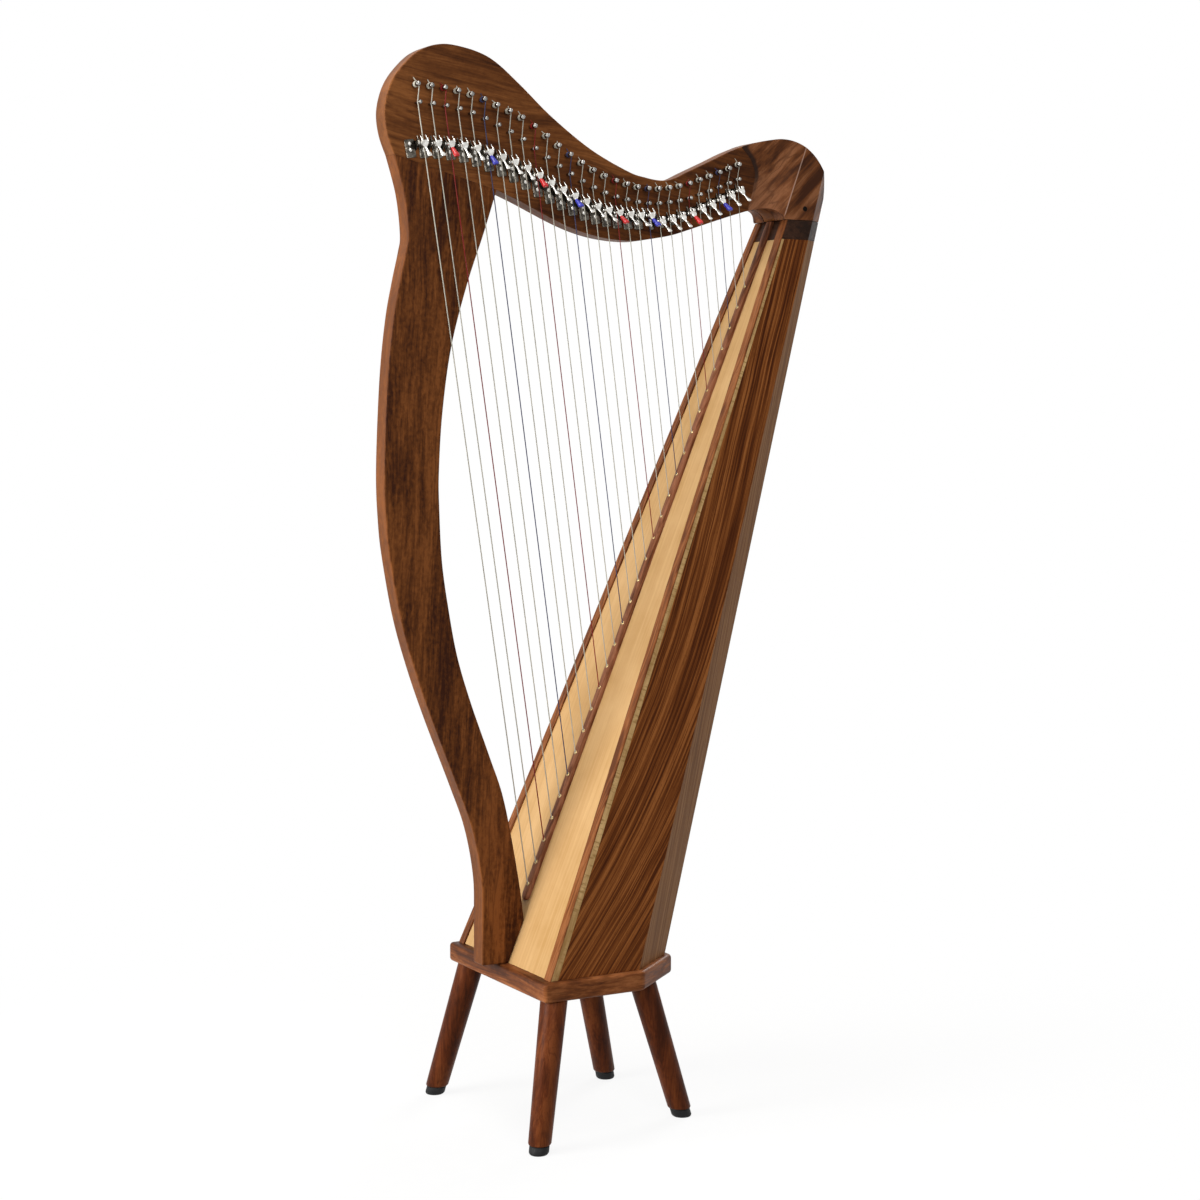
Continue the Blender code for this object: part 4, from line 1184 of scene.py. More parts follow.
@dataclass
class Legs(Part):
    """Four splayed legs with rubber feet."""

    base: BasePlate
    top_radius: float = 0.016
    foot_radius: float = 0.0135
    front_inset: float = 0.0223
    front_side_inset: float = 0.0194
    front_splay: Pair = (-0.0374, 0.0314)
    back_inset: float = 0.0464
    back_side_inset: float = 0.0322
    back_splay: Pair = (0.0442, 0.0224)
    # Chamfer at the foot as a share of its radius.
    foot_chamfer: float = 0.15
    seat_chamfer: float = 0.0008
    rubber_height: float = 0.01
    # Rubber foot: share of its height, and radius there.
    rubber_profile: Pairs = (
        (0.0, 0.0098), (0.08, 0.0108), (0.25, 0.0117), (0.9, 0.0117), (1.0, 0.0109),
    )
    sides: int = 48

    def places(self) -> list[tuple[str, Vector, Vector]]:
        """List the legs.

        Returns:
            Name, top centre and run to the floor of each leg.
        """
        layout, base = self.layout, self.base
        back_x = base.depth - self.back_inset
        canted = max(back_x - base.side_length, 0.0) * math.tan(layout.facet_angle)
        front_y = base.half_width - self.front_side_inset
        back_y = base.half_width - canted - self.back_side_inset
        ends = (
            ("front_", self.front_inset, front_y, self.front_splay),
            ("back_", back_x, back_y, self.back_splay),
        )
        return [
            (
                end + side.tag,
                Vector((layout.front + x, side.value * y, layout.leg_height)),
                Vector((splay[0], side.value * splay[1], -layout.leg_height)),
            )
            for side in Side
            for end, x, y, splay in ends
        ]

    def bar(self, name: str, top: Vector, lean: Vector, profile: list[Pair]) -> Item:
        """Turn a leaning bar whose slices are level.

        Args:
            name: Name of the new object.
            top: Centre of the leg's top.
            lean: Run from there to the floor.
            profile: Pairs of height and radius.

        Returns:
            The new object.
        """
        height = self.layout.leg_height
        along = Vector((lean.x, lean.y, 0.0)).normalized()
        across = Vector((-along.y, along.x, 0.0))
        stretch = lean.length / height
        rings = []
        for z, radius in profile:
            centre = top + lean * ((height - z) / height)
            rings.append([
                centre + radius * (stretch * c * along + s * across)
                for c, s in full_turn(self.sides)
            ])
        return bare_object(name, loft(rings))

    def build(self) -> None:
        """Build and dress the legs and their feet."""
        foot_z = self.rubber_height + GAP
        seat_z = self.layout.leg_height - GAP
        foot, seat = self.foot_chamfer * self.foot_radius, self.seat_chamfer
        timber = [
            (foot_z, self.foot_radius - foot), (foot_z + 0.3 * foot, self.foot_radius - 0.4 * foot),
            (foot_z + foot, self.foot_radius), (seat_z - seat, self.top_radius),
            (seat_z, self.top_radius - seat),
        ]
        rubber = [(share * self.rubber_height, radius) for share, radius in self.rubber_profile]
        for name, top, lean in self.places():
            leg = self.bar("turned_leg_" + name, top, lean, timber)
            dress(leg, self.finishes.legs, ("leg_" + name,))
            tread = self.bar("round_foot_" + name, top, lean, rubber)
            dress(tread, self.finishes.rubber, ("rubber_foot_" + name,))


@dataclass
class Soundbox(Part):
    """Box of veneered panels with its board, string rib and sound holes."""

    wall: float = 0.004
    hole_rises: tuple[float, ...] = (0.12, 0.33, 0.52, 0.69)
    hole_fill: float = 0.62
    hole_stretch: float = 1.7
    hole_sides: int = 64
    rib_foot_width: float = 0.014
    rib_top_width: float = 0.0105
    rib_proud: float = 0.005
    rib_start: float = 0.078
    rib_round: float = 0.0022
    # Most rounding, as a share of the half width.
    rib_round_share: float = 0.6
    # Nose of the rib: first angle in degrees, stations, and share of the height.
    nose_from: float = 14.0
    nose_steps: int = 8
    nose_lift: float = 0.62
    # CAD nodes that stay, by the finish that they get.
    kept: tuple[tuple[str, tuple[str, ...]], ...] = (
        ("spruce", ("soundboard",)),
        ("maple", ("board_liner_left", "board_liner_right")),
        ("trim", ("edge_trim_left", "edge_trim_right")),
        ("veneer", ("side_panel_left", "side_panel_right")),
        ("back", ("facet_panel_left", "facet_panel_right")),
        ("dark_block", ("end_block",)),
        ("birch", ("cross_brace_lower", "cross_brace_upper", "toe_block")),
    )

    def dress_panels(self, nodes: dict[str, Item]) -> None:
        """Give the CAD nodes that stay their finish.

        Args:
            nodes: Objects of the CAD nodes, by name.
        """
        for finish, names in self.kept:
            for name in names:
                for place in nodes[name].material_slots:
                    place.material = getattr(self.finishes, finish)
                LOG.info("kept node %s in %s", name, finish)

    def rib_width(self, along: float) -> float:
        """Return the rib's width at a run up the board."""
        share = along / self.layout.board_length
        return self.rib_foot_width + (self.rib_top_width - self.rib_foot_width) * share

    def back_section(self, z: float) -> list[Pair]:
        """Draw the flat back panel in plan.

        Args:
            z: Height of the section.

        Returns:
            Its corners in (X, Y).
        """
        layout = self.layout
        angle = layout.facet_angle
        outer_x = layout.back_x(z)
        outer_y = layout.back_half_width(z) - 0.6 * GAP
        inner_y = outer_y + self.wall * (math.tan(angle) - 1 / math.cos(angle))
        inner_x = outer_x - self.wall
        return [(outer_x, outer_y), (outer_x, -outer_y), (inner_x, -inner_y), (inner_x, inner_y)]

    def build_back(self) -> None:
        """Build the back panel with its oval sound holes."""
        layout = self.layout
        rings = [
            [Vector((x, y, z)) for x, y in self.back_section(z)]
            for z in (layout.base_top + GAP, layout.panel_top - GAP)
        ]
        panel = bare_object("back_panel_pierced", loft(rings))
        tools = []
        for rise in self.hole_rises:
            z = layout.base_top + rise
            radius = self.hole_fill * layout.back_half_width(z)
            reach = self.hole_stretch * radius
            tools.append(bare_object("hole_tool", loft([
                [Vector((x, radius * c, z + reach * s)) for c, s in full_turn(self.hole_sides)]
                for x in (layout.back_x(z) - reach, layout.back_x(z) + reach)
            ])))
        cut_out(panel, tools)
        dress(panel, self.finishes.back, ("back_panel",))

    def rib_section(self, along: float, fill: float) -> list[Pair]:
        """Draw the string rib across.

        Args:
            along: Run up the board.
            fill: Share of the full width, less than 1 in the nose.

        Returns:
            Its outline in (Y, height off the front plane).
        """
        low = -self.layout.trim_thickness
        half = fill * self.rib_width(along) / 2
        rounding = min(self.rib_round, self.rib_round_share * half)
        lift = low + self.rib_proud * (self.nose_lift + (1 - self.nose_lift) * math.sqrt(fill))
        corner = [
            (half - rounding * (1 - math.cos(a)), lift - rounding * (1 - math.sin(a)))
            for a in map(math.radians, (0, 30, 60, 90))
        ]
        right = [(half, low), *corner]
        return [*right, *((-y, out) for y, out in reversed(right))]

    def build_rib(self) -> None:
        """Build the string rib with its round lower end."""
        layout = self.layout
        end_run = layout.board_length - GAP / math.sin(layout.board_angle)
        nose = self.rib_foot_width / 2
        angles = [
            math.radians(self.nose_from + (90 - self.nose_from) * k / self.nose_steps)
            for k in range(self.nose_steps + 1)
        ]
        stations = [(self.rib_start + nose * (1 - math.cos(a)), math.sin(a)) for a in angles]
        rings = []
        for along, fill in (*stations, (end_run, 1.0)):
            slope = 1.0 / math.tan(layout.board_angle) if along == end_run else 0.0
            rings.append([
                layout.on_board(along - slope * out, y, out)
                for y, out in self.rib_section(along, fill)
            ])
        rib = bare_object("string_rib_rounded", loft(rings), 40.0)
        dress(rib, self.finishes.rib, ("string_rib",))

    def build(self, nodes: dict[str, Item]) -> None:
        """Build the box's new pieces and dress its kept panels.

        Args:
            nodes: Objects of the CAD nodes, by name.
        """
        self.dress_panels(nodes)
        self.build_back()
        self.build_rib()


@dataclass
class Pillar(Part):
    """Curved pillar between the board's foot and the neck's head."""

    foot_overhang: float = 0.0325
    seat_length: float = 0.054
    steps: int = 8
    # Each edge: share of the rise from foot to joint, and reach from the straight line.
    front_edge: Pairs = (
        (0.0, 0.0), (0.06, 0.0068), (0.112, 0.0112), (0.173, 0.0066), (0.23, -0.0072),
        (0.313, -0.0298), (0.376, -0.0446), (0.44, -0.0555), (0.512, -0.0607), (0.558, -0.0608),
        (0.623, -0.0557), (0.731, -0.039), (0.803, -0.0236), (0.85, -0.0098), (0.885, 0.0018),
        (0.907, 0.0071), (0.954, 0.0072), (1.0, 0.0),
    )
    inner_edge: Pairs = (
        (0.0, 0.0), (0.044, -0.0032), (0.118, -0.0123), (0.18, -0.0224), (0.234, -0.0376),
        (0.311, -0.0598), (0.373, -0.0744), (0.437, -0.0832), (0.502, -0.0892), (0.576, -0.0899),
        (0.622, -0.0885), (0.701, -0.0811), (0.789, -0.0664), (0.873, -0.0429), (0.942, -0.0188),
        (1.0, 0.0),
    )
    joint_front: Pair = (-0.5208, 0.053)
    joint_inner: Pair = (-0.39, 0.019)

    def edge(self, start: Pair, end: Pair, shape: Pairs) -> list[Pair]:
        """Lay an edge of a shape about the straight line between its ends."""
        (x0, z0), (x1, z1), line = start, end, smooth_curve(shape, self.steps)
        return [(x0 + (x1 - x0) * t + reach, z0 + (z1 - z0) * t) for t, reach in line]

    def build(self) -> None:
        """Build and dress the pillar."""
        layout = self.layout
        seat_x = layout.board_face - GAP / math.sin(layout.board_angle)
        foot_z = layout.base_top + GAP
        front_foot = (layout.foot.x - self.foot_overhang, foot_z)
        heel = (layout.front_x(foot_z) + seat_x, foot_z)
        seat = layout.on_board(self.seat_length)
        seat_end = (layout.front_x(seat.z) + seat_x, seat.z)
        head, inner = layout.from_shoulder((self.joint_front, self.joint_inner))
        front = self.edge(front_foot, (head[0], head[1] - GAP), self.front_edge)
        back = self.edge(seat_end, (inner[0], inner[1] - GAP), self.inner_edge)
        outline = [heel, *back, *reversed(front)]
        pillar = self.board("pillar_rounded", outline, (head, inner))
        dress(pillar, self.finishes.pillar, ("pillar",))


@dataclass
class Neck(Part):
    """Curved neck that carries pins and levers, with the shoulder cheeks on its end."""

    steps: int = 8
    # Edges of the neck, measured from the shoulder point.
    bottom: Pairs = (
        (-0.39, 0.019), (-0.36, 0.0075), (-0.338, -0.0019), (-0.309, -0.0141), (-0.283, -0.0231),
        (-0.257, -0.0292), (-0.231, -0.0323), (-0.205, -0.0328), (-0.186, -0.0302),
        (-0.153, -0.0241), (-0.126, -0.0159), (-0.098, -0.0068), (-0.067, 0.003), (-0.045, 0.0096),
    )
    cove: Pairs = (
        (-0.045, 0.0096), (-0.03, 0.013), (-0.019, 0.0138), (-0.01, 0.0108), (-0.0045, 0.0058),
        (-0.0018, 0.0003),
    )
    top: Pairs = (
        (-0.5208, 0.053), (-0.5292, 0.075), (-0.5325, 0.099), (-0.5282, 0.122), (-0.5185, 0.142),
        (-0.501, 0.162), (-0.486, 0.173), (-0.467, 0.18), (-0.446, 0.1815), (-0.414, 0.176),
        (-0.389, 0.165), (-0.356, 0.14), (-0.317, 0.108), (-0.264, 0.073), (-0.213, 0.05),
        (-0.189, 0.044), (-0.168, 0.0415), (-0.151, 0.044), (-0.129, 0.054), (-0.096, 0.069),
        (-0.068, 0.082), (-0.038, 0.0928), (-0.007, 0.0992), (0.009, 0.0998), (0.023, 0.0968),
        (0.036, 0.0905), (0.0475, 0.0812), (0.0565, 0.0695), (0.0632, 0.056), (0.0672, 0.041),
        (0.0682, 0.03),
    )
    cheek_from: float = -0.068
    # Half width of the blank for both cheeks.
    cheek_blank: float = 0.053
    # Scooped front of a cheek: its line on the neck's face, and its outer edge.
    scoop_inner: Pairs = (
        (-0.044, 0.005), (-0.041, 0.02), (-0.037, 0.032), (-0.035, 0.042), (-0.033, 0.057),
        (-0.04, 0.074), (-0.053, 0.087),
    )
    scoop_outer: tuple[Pair, Pair] = ((-0.0033, 0.0018), (0.0354, 0.0911))
    scoop_hollow: float = 0.0022
    # Places across the scoop where its tool is drawn, and how far that runs past it.
    scoop_shares: tuple[float, ...] = (-0.3, 0.0, 0.12, 0.25, 0.4, 0.55, 0.7, 0.85, 1.0, 1.8)
    scoop_overrun: float = 0.025
    dowel_place: Pair = (0.0288, 0.0143)
    dowel_radius: float = 0.00325
    dowel_proud: float = 0.0005
    dowel_chamfer: float = 0.0003

    def outline(self) -> list[Pair]:
        """Draw the neck from its joint with the pillar and back to it.

        Returns:
            The outline in (X, Z).
        """
        layout = self.layout
        heel = (layout.back_x(layout.shoulder.z), layout.shoulder.z + GAP)
        bottom, cove, top = (
            smooth_curve(layout.from_shoulder(edge), steps)
            for edge, steps in ((self.bottom, self.steps), (self.cove, 3), (self.top, self.steps))
        )
        return [*bottom, *cove[1:], heel, *reversed(top)]

    def build_timber(self) -> None:
        """Build and dress the neck itself."""
        outline = self.outline()
        neck = self.board("neck_rounded", outline, (outline[0], outline[-1]))
        dress(neck, self.finishes.neck, ("neck",))

    def scoop_ring(self, share: float, sign: int) -> list[Vector]:
        """Draw the scoop's tool at one place between the neck and the cheek's outside.

        Args:
            share: Share of the way out.
            sign: Sign of Y on the cheek's side.

        Returns:
            The closed ring of points.
        """
        layout = self.layout
        inner = smooth_curve(layout.from_shoulder(self.scoop_inner), steps=5)
        (foot_x, foot_z), (head_x, head_z) = layout.from_shoulder(self.scoop_outer)
        hollow = self.scoop_hollow * math.sin(math.pi * min(max(share, 0.0), 1.0))
        line = []
        for i, (x, z) in enumerate(inner):
            t = i / (len(inner) - 1)
            outer_x = foot_x + (head_x - foot_x) * t
            outer_z = foot_z + (head_z - foot_z) * t
            reach = layout.half_width(outer_z) - layout.half_timber
            line.append(Vector((
                x + (outer_x - x) * share + hollow,
                layout.half_timber + reach * share,
                z + (outer_z - z) * share,
            )))
        past = Vector((0.0, 0.0, self.scoop_overrun))
        line = [line[0] - past, *line, line[-1] + past]
        clear_x = inner[0][0] - 4 * self.scoop_overrun
        line += [Vector((clear_x, end.y, end.z)) for end in (line[-1], line[0])]
        return [Vector((point.x, sign * point.y, point.z)) for point in line]

    def cheek_outline(self) -> list[Pair]:
        """Return the part of the neck's outline that a cheek shares."""
        limit = self.layout.shoulder.x + self.cheek_from
        return [pair for pair in self.outline() if pair[0] > limit]

    def build_cheek(self, side: Side) -> None:
        """Build and dress one shoulder cheek.

        Args:
            side: Side of the harp that it is on.
        """
        layout, sign = self.layout, side.value
        faces = (sign * (layout.half_timber + GAP), sign * self.cheek_blank)
        bm = prism(self.cheek_outline(), *faces)
        bmesh.ops.recalc_face_normals(bm, faces=bm.faces)
        levels = (layout.shoulder.z, layout.shoulder.z + self.scoop_outer[1][1])
        low, high = (Vector((layout.side_x(z), sign * layout.half_width(z), z)) for z in levels)
        inward = Vector((low.x, 0.0, 0.0))
        rise = Vector((0.0, high.y - low.y, high.z - low.z))
        self.slice_off(bm, low - inward, ALONG_X.cross(rise), sign)
        plan = Vector((math.cos(layout.facet_angle), -sign * math.sin(layout.facet_angle), 0.0))
        self.slice_off(bm, low, plan.cross(high - low), sign)
        cheek = bare_object("carved_cheek_" + side.tag, bm, 28.0)
        tool = loft([self.scoop_ring(share, sign) for share in self.scoop_shares])
        cut_out(cheek, [bare_object("scoop_tool", tool)])
        cheek.data.shade_smooth()
        cheek.data.set_sharp_from_angle(angle=math.radians(15.0))
        dress(cheek, self.finishes.cheek, ("shoulder_cheek_" + side.tag,))

    @staticmethod
    def slice_off(bm: Shape, point: Vector, normal: Vector, sign: int) -> None:
        """Cut off what lies outside a plane, and close the cut.

        Args:
            bm: The shape.
            point: A point on the plane.
            normal: A direction square to it.
            sign: Side of the harp, which the outer side faces.
        """
        out = normal.normalized()
        out = out if out.y * sign > 0 else -out
        cut = bmesh.ops.bisect_plane(
            bm, geom=[*bm.verts, *bm.edges, *bm.faces], plane_co=point, plane_no=out,
            clear_outer=True, dist=1e-7)
        edges = [piece for piece in cut["geom_cut"] if isinstance(piece, bmesh.types.BMEdge)]
        bmesh.ops.edgenet_fill(bm, edges=edges)

    def build_dowel(self) -> None:
        """Build the dowel whose plugs show on both cheeks."""
        (x, z), = self.layout.from_shoulder((self.dowel_place,))
        reach = self.layout.half_width(z) + self.dowel_proud
        radius, chamfer = self.dowel_radius, self.dowel_chamfer
        profile = [
            (0.0, radius - chamfer), (chamfer, radius),
            (2 * reach - chamfer, radius), (2 * reach, radius - chamfer),
        ]
        bm = turned(Vector((x, -reach, z)), Vector(CROSSWISE), profile, 32)
        dress(bare_object("dowel_plugged", bm), self.finishes.plug, ("shoulder_dowel",))

    def build(self) -> None:
        """Build the neck, its cheeks and the dowel through them."""
        self.build_timber()
        for side in Side:
            self.build_cheek(side)
        self.build_dowel()


@dataclass
class Stringing(Part):
    """The 29 strings with their eyelets, bridge pins and tuning pins."""

    box: Soundbox
    count: int = 29
    first_eyelet: float = 0.0974
    last_margin: float = 0.0902
    first_reach: float = -0.4936
    last_reach: float = -0.0624
    pitch_loss: float = 0.0034
    # Rise of the bridge pins over the shoulder point, by string number.
    pin_line: Pairs = (
        (1, 0.1119), (3, 0.1102), (5, 0.1042), (7, 0.0924), (9, 0.078), (11, 0.0587), (13, 0.0414),
        (15, 0.027), (17, 0.0177), (20, 0.012), (23, 0.0173), (26, 0.0311), (29, 0.0473),
    )
    # Rise of the tuning pins over the bridge pins, by string number.
    tuning_rise: Pairs = (
        (1, 0.0203), (4, 0.0203), (7, 0.0227), (10, 0.0256), (13, 0.0225), (16, 0.0198),
        (20, 0.0174), (29, 0.0178),
    )
    # Sidestep of the tuning pins from the bridge pins, bass and treble.
    tuning_sidestep: Pair = (-0.0025, -0.0008)
    # Radii of the solids' strings and bridge pins, which place the levers.
    solid_radii: Pair = (0.00075, 0.0004)
    solid_pin_radius: float = 0.00225
    bass_radius: float = 0.00069
    treble_radius: float = 0.0004
    bridge_pin_waist: float = 0.0009
    # Bridge pin as a spool: run from the neck's face, and radius.
    bridge_pin: Pairs = (
        (-0.002, 0.0015), (0.005, 0.0015), (0.0054, 0.002), (0.0064, 0.0022), (0.0074, 0.002),
        (0.008, 0.0012), (0.0087, 0.0009), (0.0103, 0.0009), (0.0109, 0.0013), (0.0113, 0.0022),
        (0.0122, 0.0025), (0.0136, 0.0024), (0.0146, 0.0017), (0.015, 0.0007),
    )
    tuning_pin_radius: float = 0.0021
    tuning_head_radius: float = 0.003
    tuning_head_from: float = 0.0104
    tuning_pin_length: float = 0.0158
    # Dome on a tuning pin's head, and the angles in degrees where it is drawn.
    dome: float = 0.0028
    dome_angles: tuple[int, ...] = (20, 40, 60, 78)
    # Square end of a tuning pin: run, and share of its radius.
    square_radius: float = 0.0031
    square_profile: Pairs = (
        (0.0, 1.0), (0.0015, 1.0), (0.002, 0.8), (0.0084, 0.7), (0.009, 0.58),
    )
    # Half the angle of each blunt corner, in radians.
    square_corner: float = 0.12
    standoff: float = 0.0095
    # Gaps between a string and what it lies on, and between its coils.
    touch: float = 0.0001
    coil_gap: float = 0.00005
    coil_turns: float = 3.14
    coil_spread: float = 0.03
    coil_steps: int = 18
    # Runs of a string before and after its bend in the eyelet.
    bend_runs: Triple = (-0.0012, 0.0003, 0.0016)
    # Runs of the tail at the tuning pin, and steps of the last one.
    tail_runs: Triple = (0.001, 0.0014, 0.0016)
    tail_spread: float = 0.0006
    tail_lift: float = 0.3
    # Radii of large and small eyelets, and the first string with a small one.
    eyelet_radii: Pair = (0.0026, 0.0022)
    small_eyelets_from: int = 15
    # Rim of an eyelet, run and loss of radius, and its bore, run and radius.
    eyelet_rim: Pairs = (
        (-0.0006, 0.0001), (0.0003, 0.0), (0.0007, 0.0005), (0.0008, 0.0009),
    )
    eyelet_bore: tuple[Pair, Pair] = ((0.0006, 0.0011), (-0.0002, 0.0009))
    inner_rib_width: float = 0.016
    inner_rib_thickness: float = 0.006
    inner_rib_overrun: float = 0.012
    inner_rib_chamfer: float = 0.002
    knot_depth: float = 0.001
    red: tuple[int, ...] = (3, 10, 17, 24)
    blue: tuple[int, ...] = (6, 13, 20, 27)

    @property
    def numbers(self) -> range:
        """Numbers of the strings, 1 being the longest."""
        return range(1, self.count + 1)

    def tint(self, number: int) -> Tint:
        """Return the colour of a string."""
        kinds = (self.red, Tint.RED), (self.blue, Tint.BLUE)
        return next((tint for numbers, tint in kinds if number in numbers), Tint.CLEAR)

    def grade(self, number: int, bass: float, treble: float) -> float:
        """Return a size that changes evenly from the first string to the last."""
        return bass + (treble - bass) * (number - 1) / (self.count - 1)

    def eyelet_run(self, number: int) -> float:
        """Return how far up the board a string's eyelet lies."""
        return self.grade(number, self.first_eyelet, self.layout.board_length - self.last_margin)

    def rib_top(self) -> float:
        """Height of the rib's top over the front plane."""
        return self.box.rib_proud - self.layout.trim_thickness

    def eyelet(self, number: int) -> Vector:
        """Return the point on the rib where a string comes out."""
        return self.layout.on_board(self.eyelet_run(number), 0.0, self.rib_top())

    def bridge_place(self, number: int) -> Pair:
        """Place a bridge pin.

        Args:
            number: The string.

        Returns:
            Its (X, Z).
        """
        n, last = number - 1, self.count - 1
        reach = self.grade(number, self.first_reach, self.last_reach)
        reach += self.pitch_loss / 2 * n * (1 - n / last)
        shoulder = self.layout.shoulder
        return shoulder.x + reach, shoulder.z + read_curve(self.pin_line, number)

    def tuning_pin(self, number: int) -> Pair:
        """Return (X, Z) of a tuning pin."""
        (x, z), aside = self.bridge_place(number), self.grade(number, *self.tuning_sidestep)
        return x + aside, z + read_curve(self.tuning_rise, number)

    def radius(self, number: int) -> float:
        """Return a string's radius."""
        return self.grade(number, self.bass_radius, self.treble_radius)

    def head(self, number: int, side: float) -> Vector:
        """Return the point at the side of a bridge pin where a string passes it."""
        x, z = self.bridge_place(number)
        return Vector((x - side, -self.layout.half_timber - self.standoff, z))

    def solid_head(self, number: int) -> Vector:
        """Return where the solids' string passes its bridge pin."""
        radius = self.grade(number, *self.solid_radii)
        return self.head(number, self.solid_pin_radius + radius + 1.5 * GAP)

    def inner_rib_top(self) -> float:
        """Height of the inner rib's face towards the board, over the front plane."""
        return -(self.layout.trim_thickness + 2 * GAP + self.layout.board_thickness)

    def string_path(self, number: int) -> list[Vector]:
        """Lay the centre line of a string.

        Args:
            number: The string.

        Returns:
            Points from the knot inside the box to the tail at the tuning pin.
        """
        layout, radius, run = self.layout, self.radius(number), self.eyelet_run(number)
        knot = self.inner_rib_top() - self.inner_rib_thickness - self.knot_depth
        bend = layout.on_board(run, out=self.rib_top() + radius)
        head = self.head(number, self.bridge_pin_waist + radius + self.touch)
        way = (head - bend).normalized()
        inside, *outside = self.bend_runs
        path = [
            layout.on_board(run, out=knot), bend + inside * layout.out,
            *(bend + reach * way for reach in outside), head,
        ]
        x, z = self.tuning_pin(number)
        coil = self.tuning_pin_radius + radius + self.touch
        turns = self.coil_turns + self.coil_spread * (number * 5 % 4)
        for k in range(int(turns * self.coil_steps) + 1):
            angle = 2 * math.pi * k / self.coil_steps
            y = head.y + (2 * radius + self.coil_gap) * k / self.coil_steps
            path.append(Vector((x + coil * math.cos(angle), y, z + coil * math.sin(angle))))
        way = (path[-1] - path[-2]).normalized()
        outward = (path[-1] - Vector((x, path[-1].y, z))).normalized()
        first, second, third = self.tail_runs
        for reach in (first, second, third + self.tail_spread * (number * 3 % 4)):
            path.append(path[-1] + (way + outward * self.tail_lift) * reach)
        return path

    def build_strings(self) -> None:
        """Build the strings, one piece for each colour."""
        slots = {Tint.CLEAR: Slot.NYLON, Tint.RED: Slot.STRING_RED, Tint.BLUE: Slot.STRING_BLUE}
        for tint, slot in slots.items():
            bm = bmesh.new()
            for number in self.numbers:
                if self.tint(number) is tint:
                    path = self.string_path(number)
                    absorb(bm, swept(path, self.radius(number), sides=8, taper=0.7))
            strings = bare_object("strings_" + tint.value, bm, 50.0)
            dress(strings, self.finishes.strings[tint], ("string_set",))

    def build_inner_rib(self) -> None:
        """Build the rib inside the box that the strings are knotted behind."""
        top, half = self.inner_rib_top(), self.inner_rib_width / 2
        low, chamfer = top - self.inner_rib_thickness, self.inner_rib_chamfer
        start = self.eyelet_run(1) - self.inner_rib_overrun
        end = self.eyelet_run(self.count) + self.inner_rib_overrun
        section = (
            (-half, top), (half, top), (half, low + chamfer), (half - chamfer, low),
            (chamfer - half, low), (-half, low + chamfer),
        )
        rings = [
            [self.layout.on_board(along, y, out) for y, out in section] for along in (start, end)
        ]
        rib = bare_object("inner_rib", loft(rings), 30.0)
        dress(rib, self.finishes.birch, ("string_set",))

    def build_eyelets(self) -> None:
        """Build the brass eyelets on the rib."""
        bm = bmesh.new()
        for number in self.numbers:
            outer = self.eyelet_radii[number >= self.small_eyelets_from]
            rim = [(run, outer - loss) for run, loss in self.eyelet_rim]
            profile = [*rim, *self.eyelet_bore]
            absorb(bm, turned(self.eyelet(number), self.layout.out, profile, 24))
        dress(bare_object("eyelets", bm, 60.0), self.finishes.brass)

    def square_end(self, number: int) -> Shape:
        """Build the square end of a tuning pin, on the neck's far face.

        Args:
            number: The string.

        Returns:
            The new bmesh.
        """
        x, z = self.tuning_pin(number)
        turn = math.radians(37 * number % 90)
        angles = [
            turn + math.pi / 2 * k + shift
            for k in range(4) for shift in (-self.square_corner, self.square_corner)
        ]
        return loft([
            [
                Vector((
                    x + size * self.square_radius * math.cos(angle),
                    self.layout.half_timber + along,
                    z + size * self.square_radius * math.sin(angle),
                ))
                for angle in angles
            ]
            for along, size in self.square_profile
        ])

    def build_tuning_pins(self) -> None:
        """Build the tuning pins with domed heads and square far ends."""
        half = self.layout.half_timber
        shaft, head = self.tuning_pin_radius, self.tuning_head_radius
        start, dome_from = self.tuning_head_from, self.tuning_pin_length - self.dome
        profile = [
            (-2 * half, shaft), (start, shaft), (start + 0.0003, 0.92 * head),
            (start + 0.001, head), (dome_from, head),
            *(
                (dome_from + self.dome * math.sin(a), head * math.cos(a) ** 0.7)
                for a in map(math.radians, self.dome_angles)
            ),
        ]
        bm = bmesh.new()
        for number in self.numbers:
            x, z = self.tuning_pin(number)
            absorb(bm, turned(Vector((x, -half, z)), TO_LEFT, profile, 28))
            absorb(bm, self.square_end(number))
        pins = bare_object("tuning_pins", bm, 40.0)
        dress(pins, self.finishes.pin, ("string_set",))

    def build_bridge_pins(self) -> None:
        """Build the bridge pins, spools whose waist holds the string."""
        bm = bmesh.new()
        for number in self.numbers:
            x, z = self.bridge_place(number)
            start = Vector((x, -self.layout.half_timber, z))
            absorb(bm, turned(start, TO_LEFT, self.bridge_pin, 24))
        pins = bare_object("bridge_pins", bm, 40.0)
        dress(pins, self.finishes.pin, ("neck",))

    def build(self) -> None:
        """Build all that carries the strings, and the strings."""
        self.build_inner_rib()
        self.build_eyelets()
        self.build_bridge_pins()
        self.build_tuning_pins()
        self.build_strings()


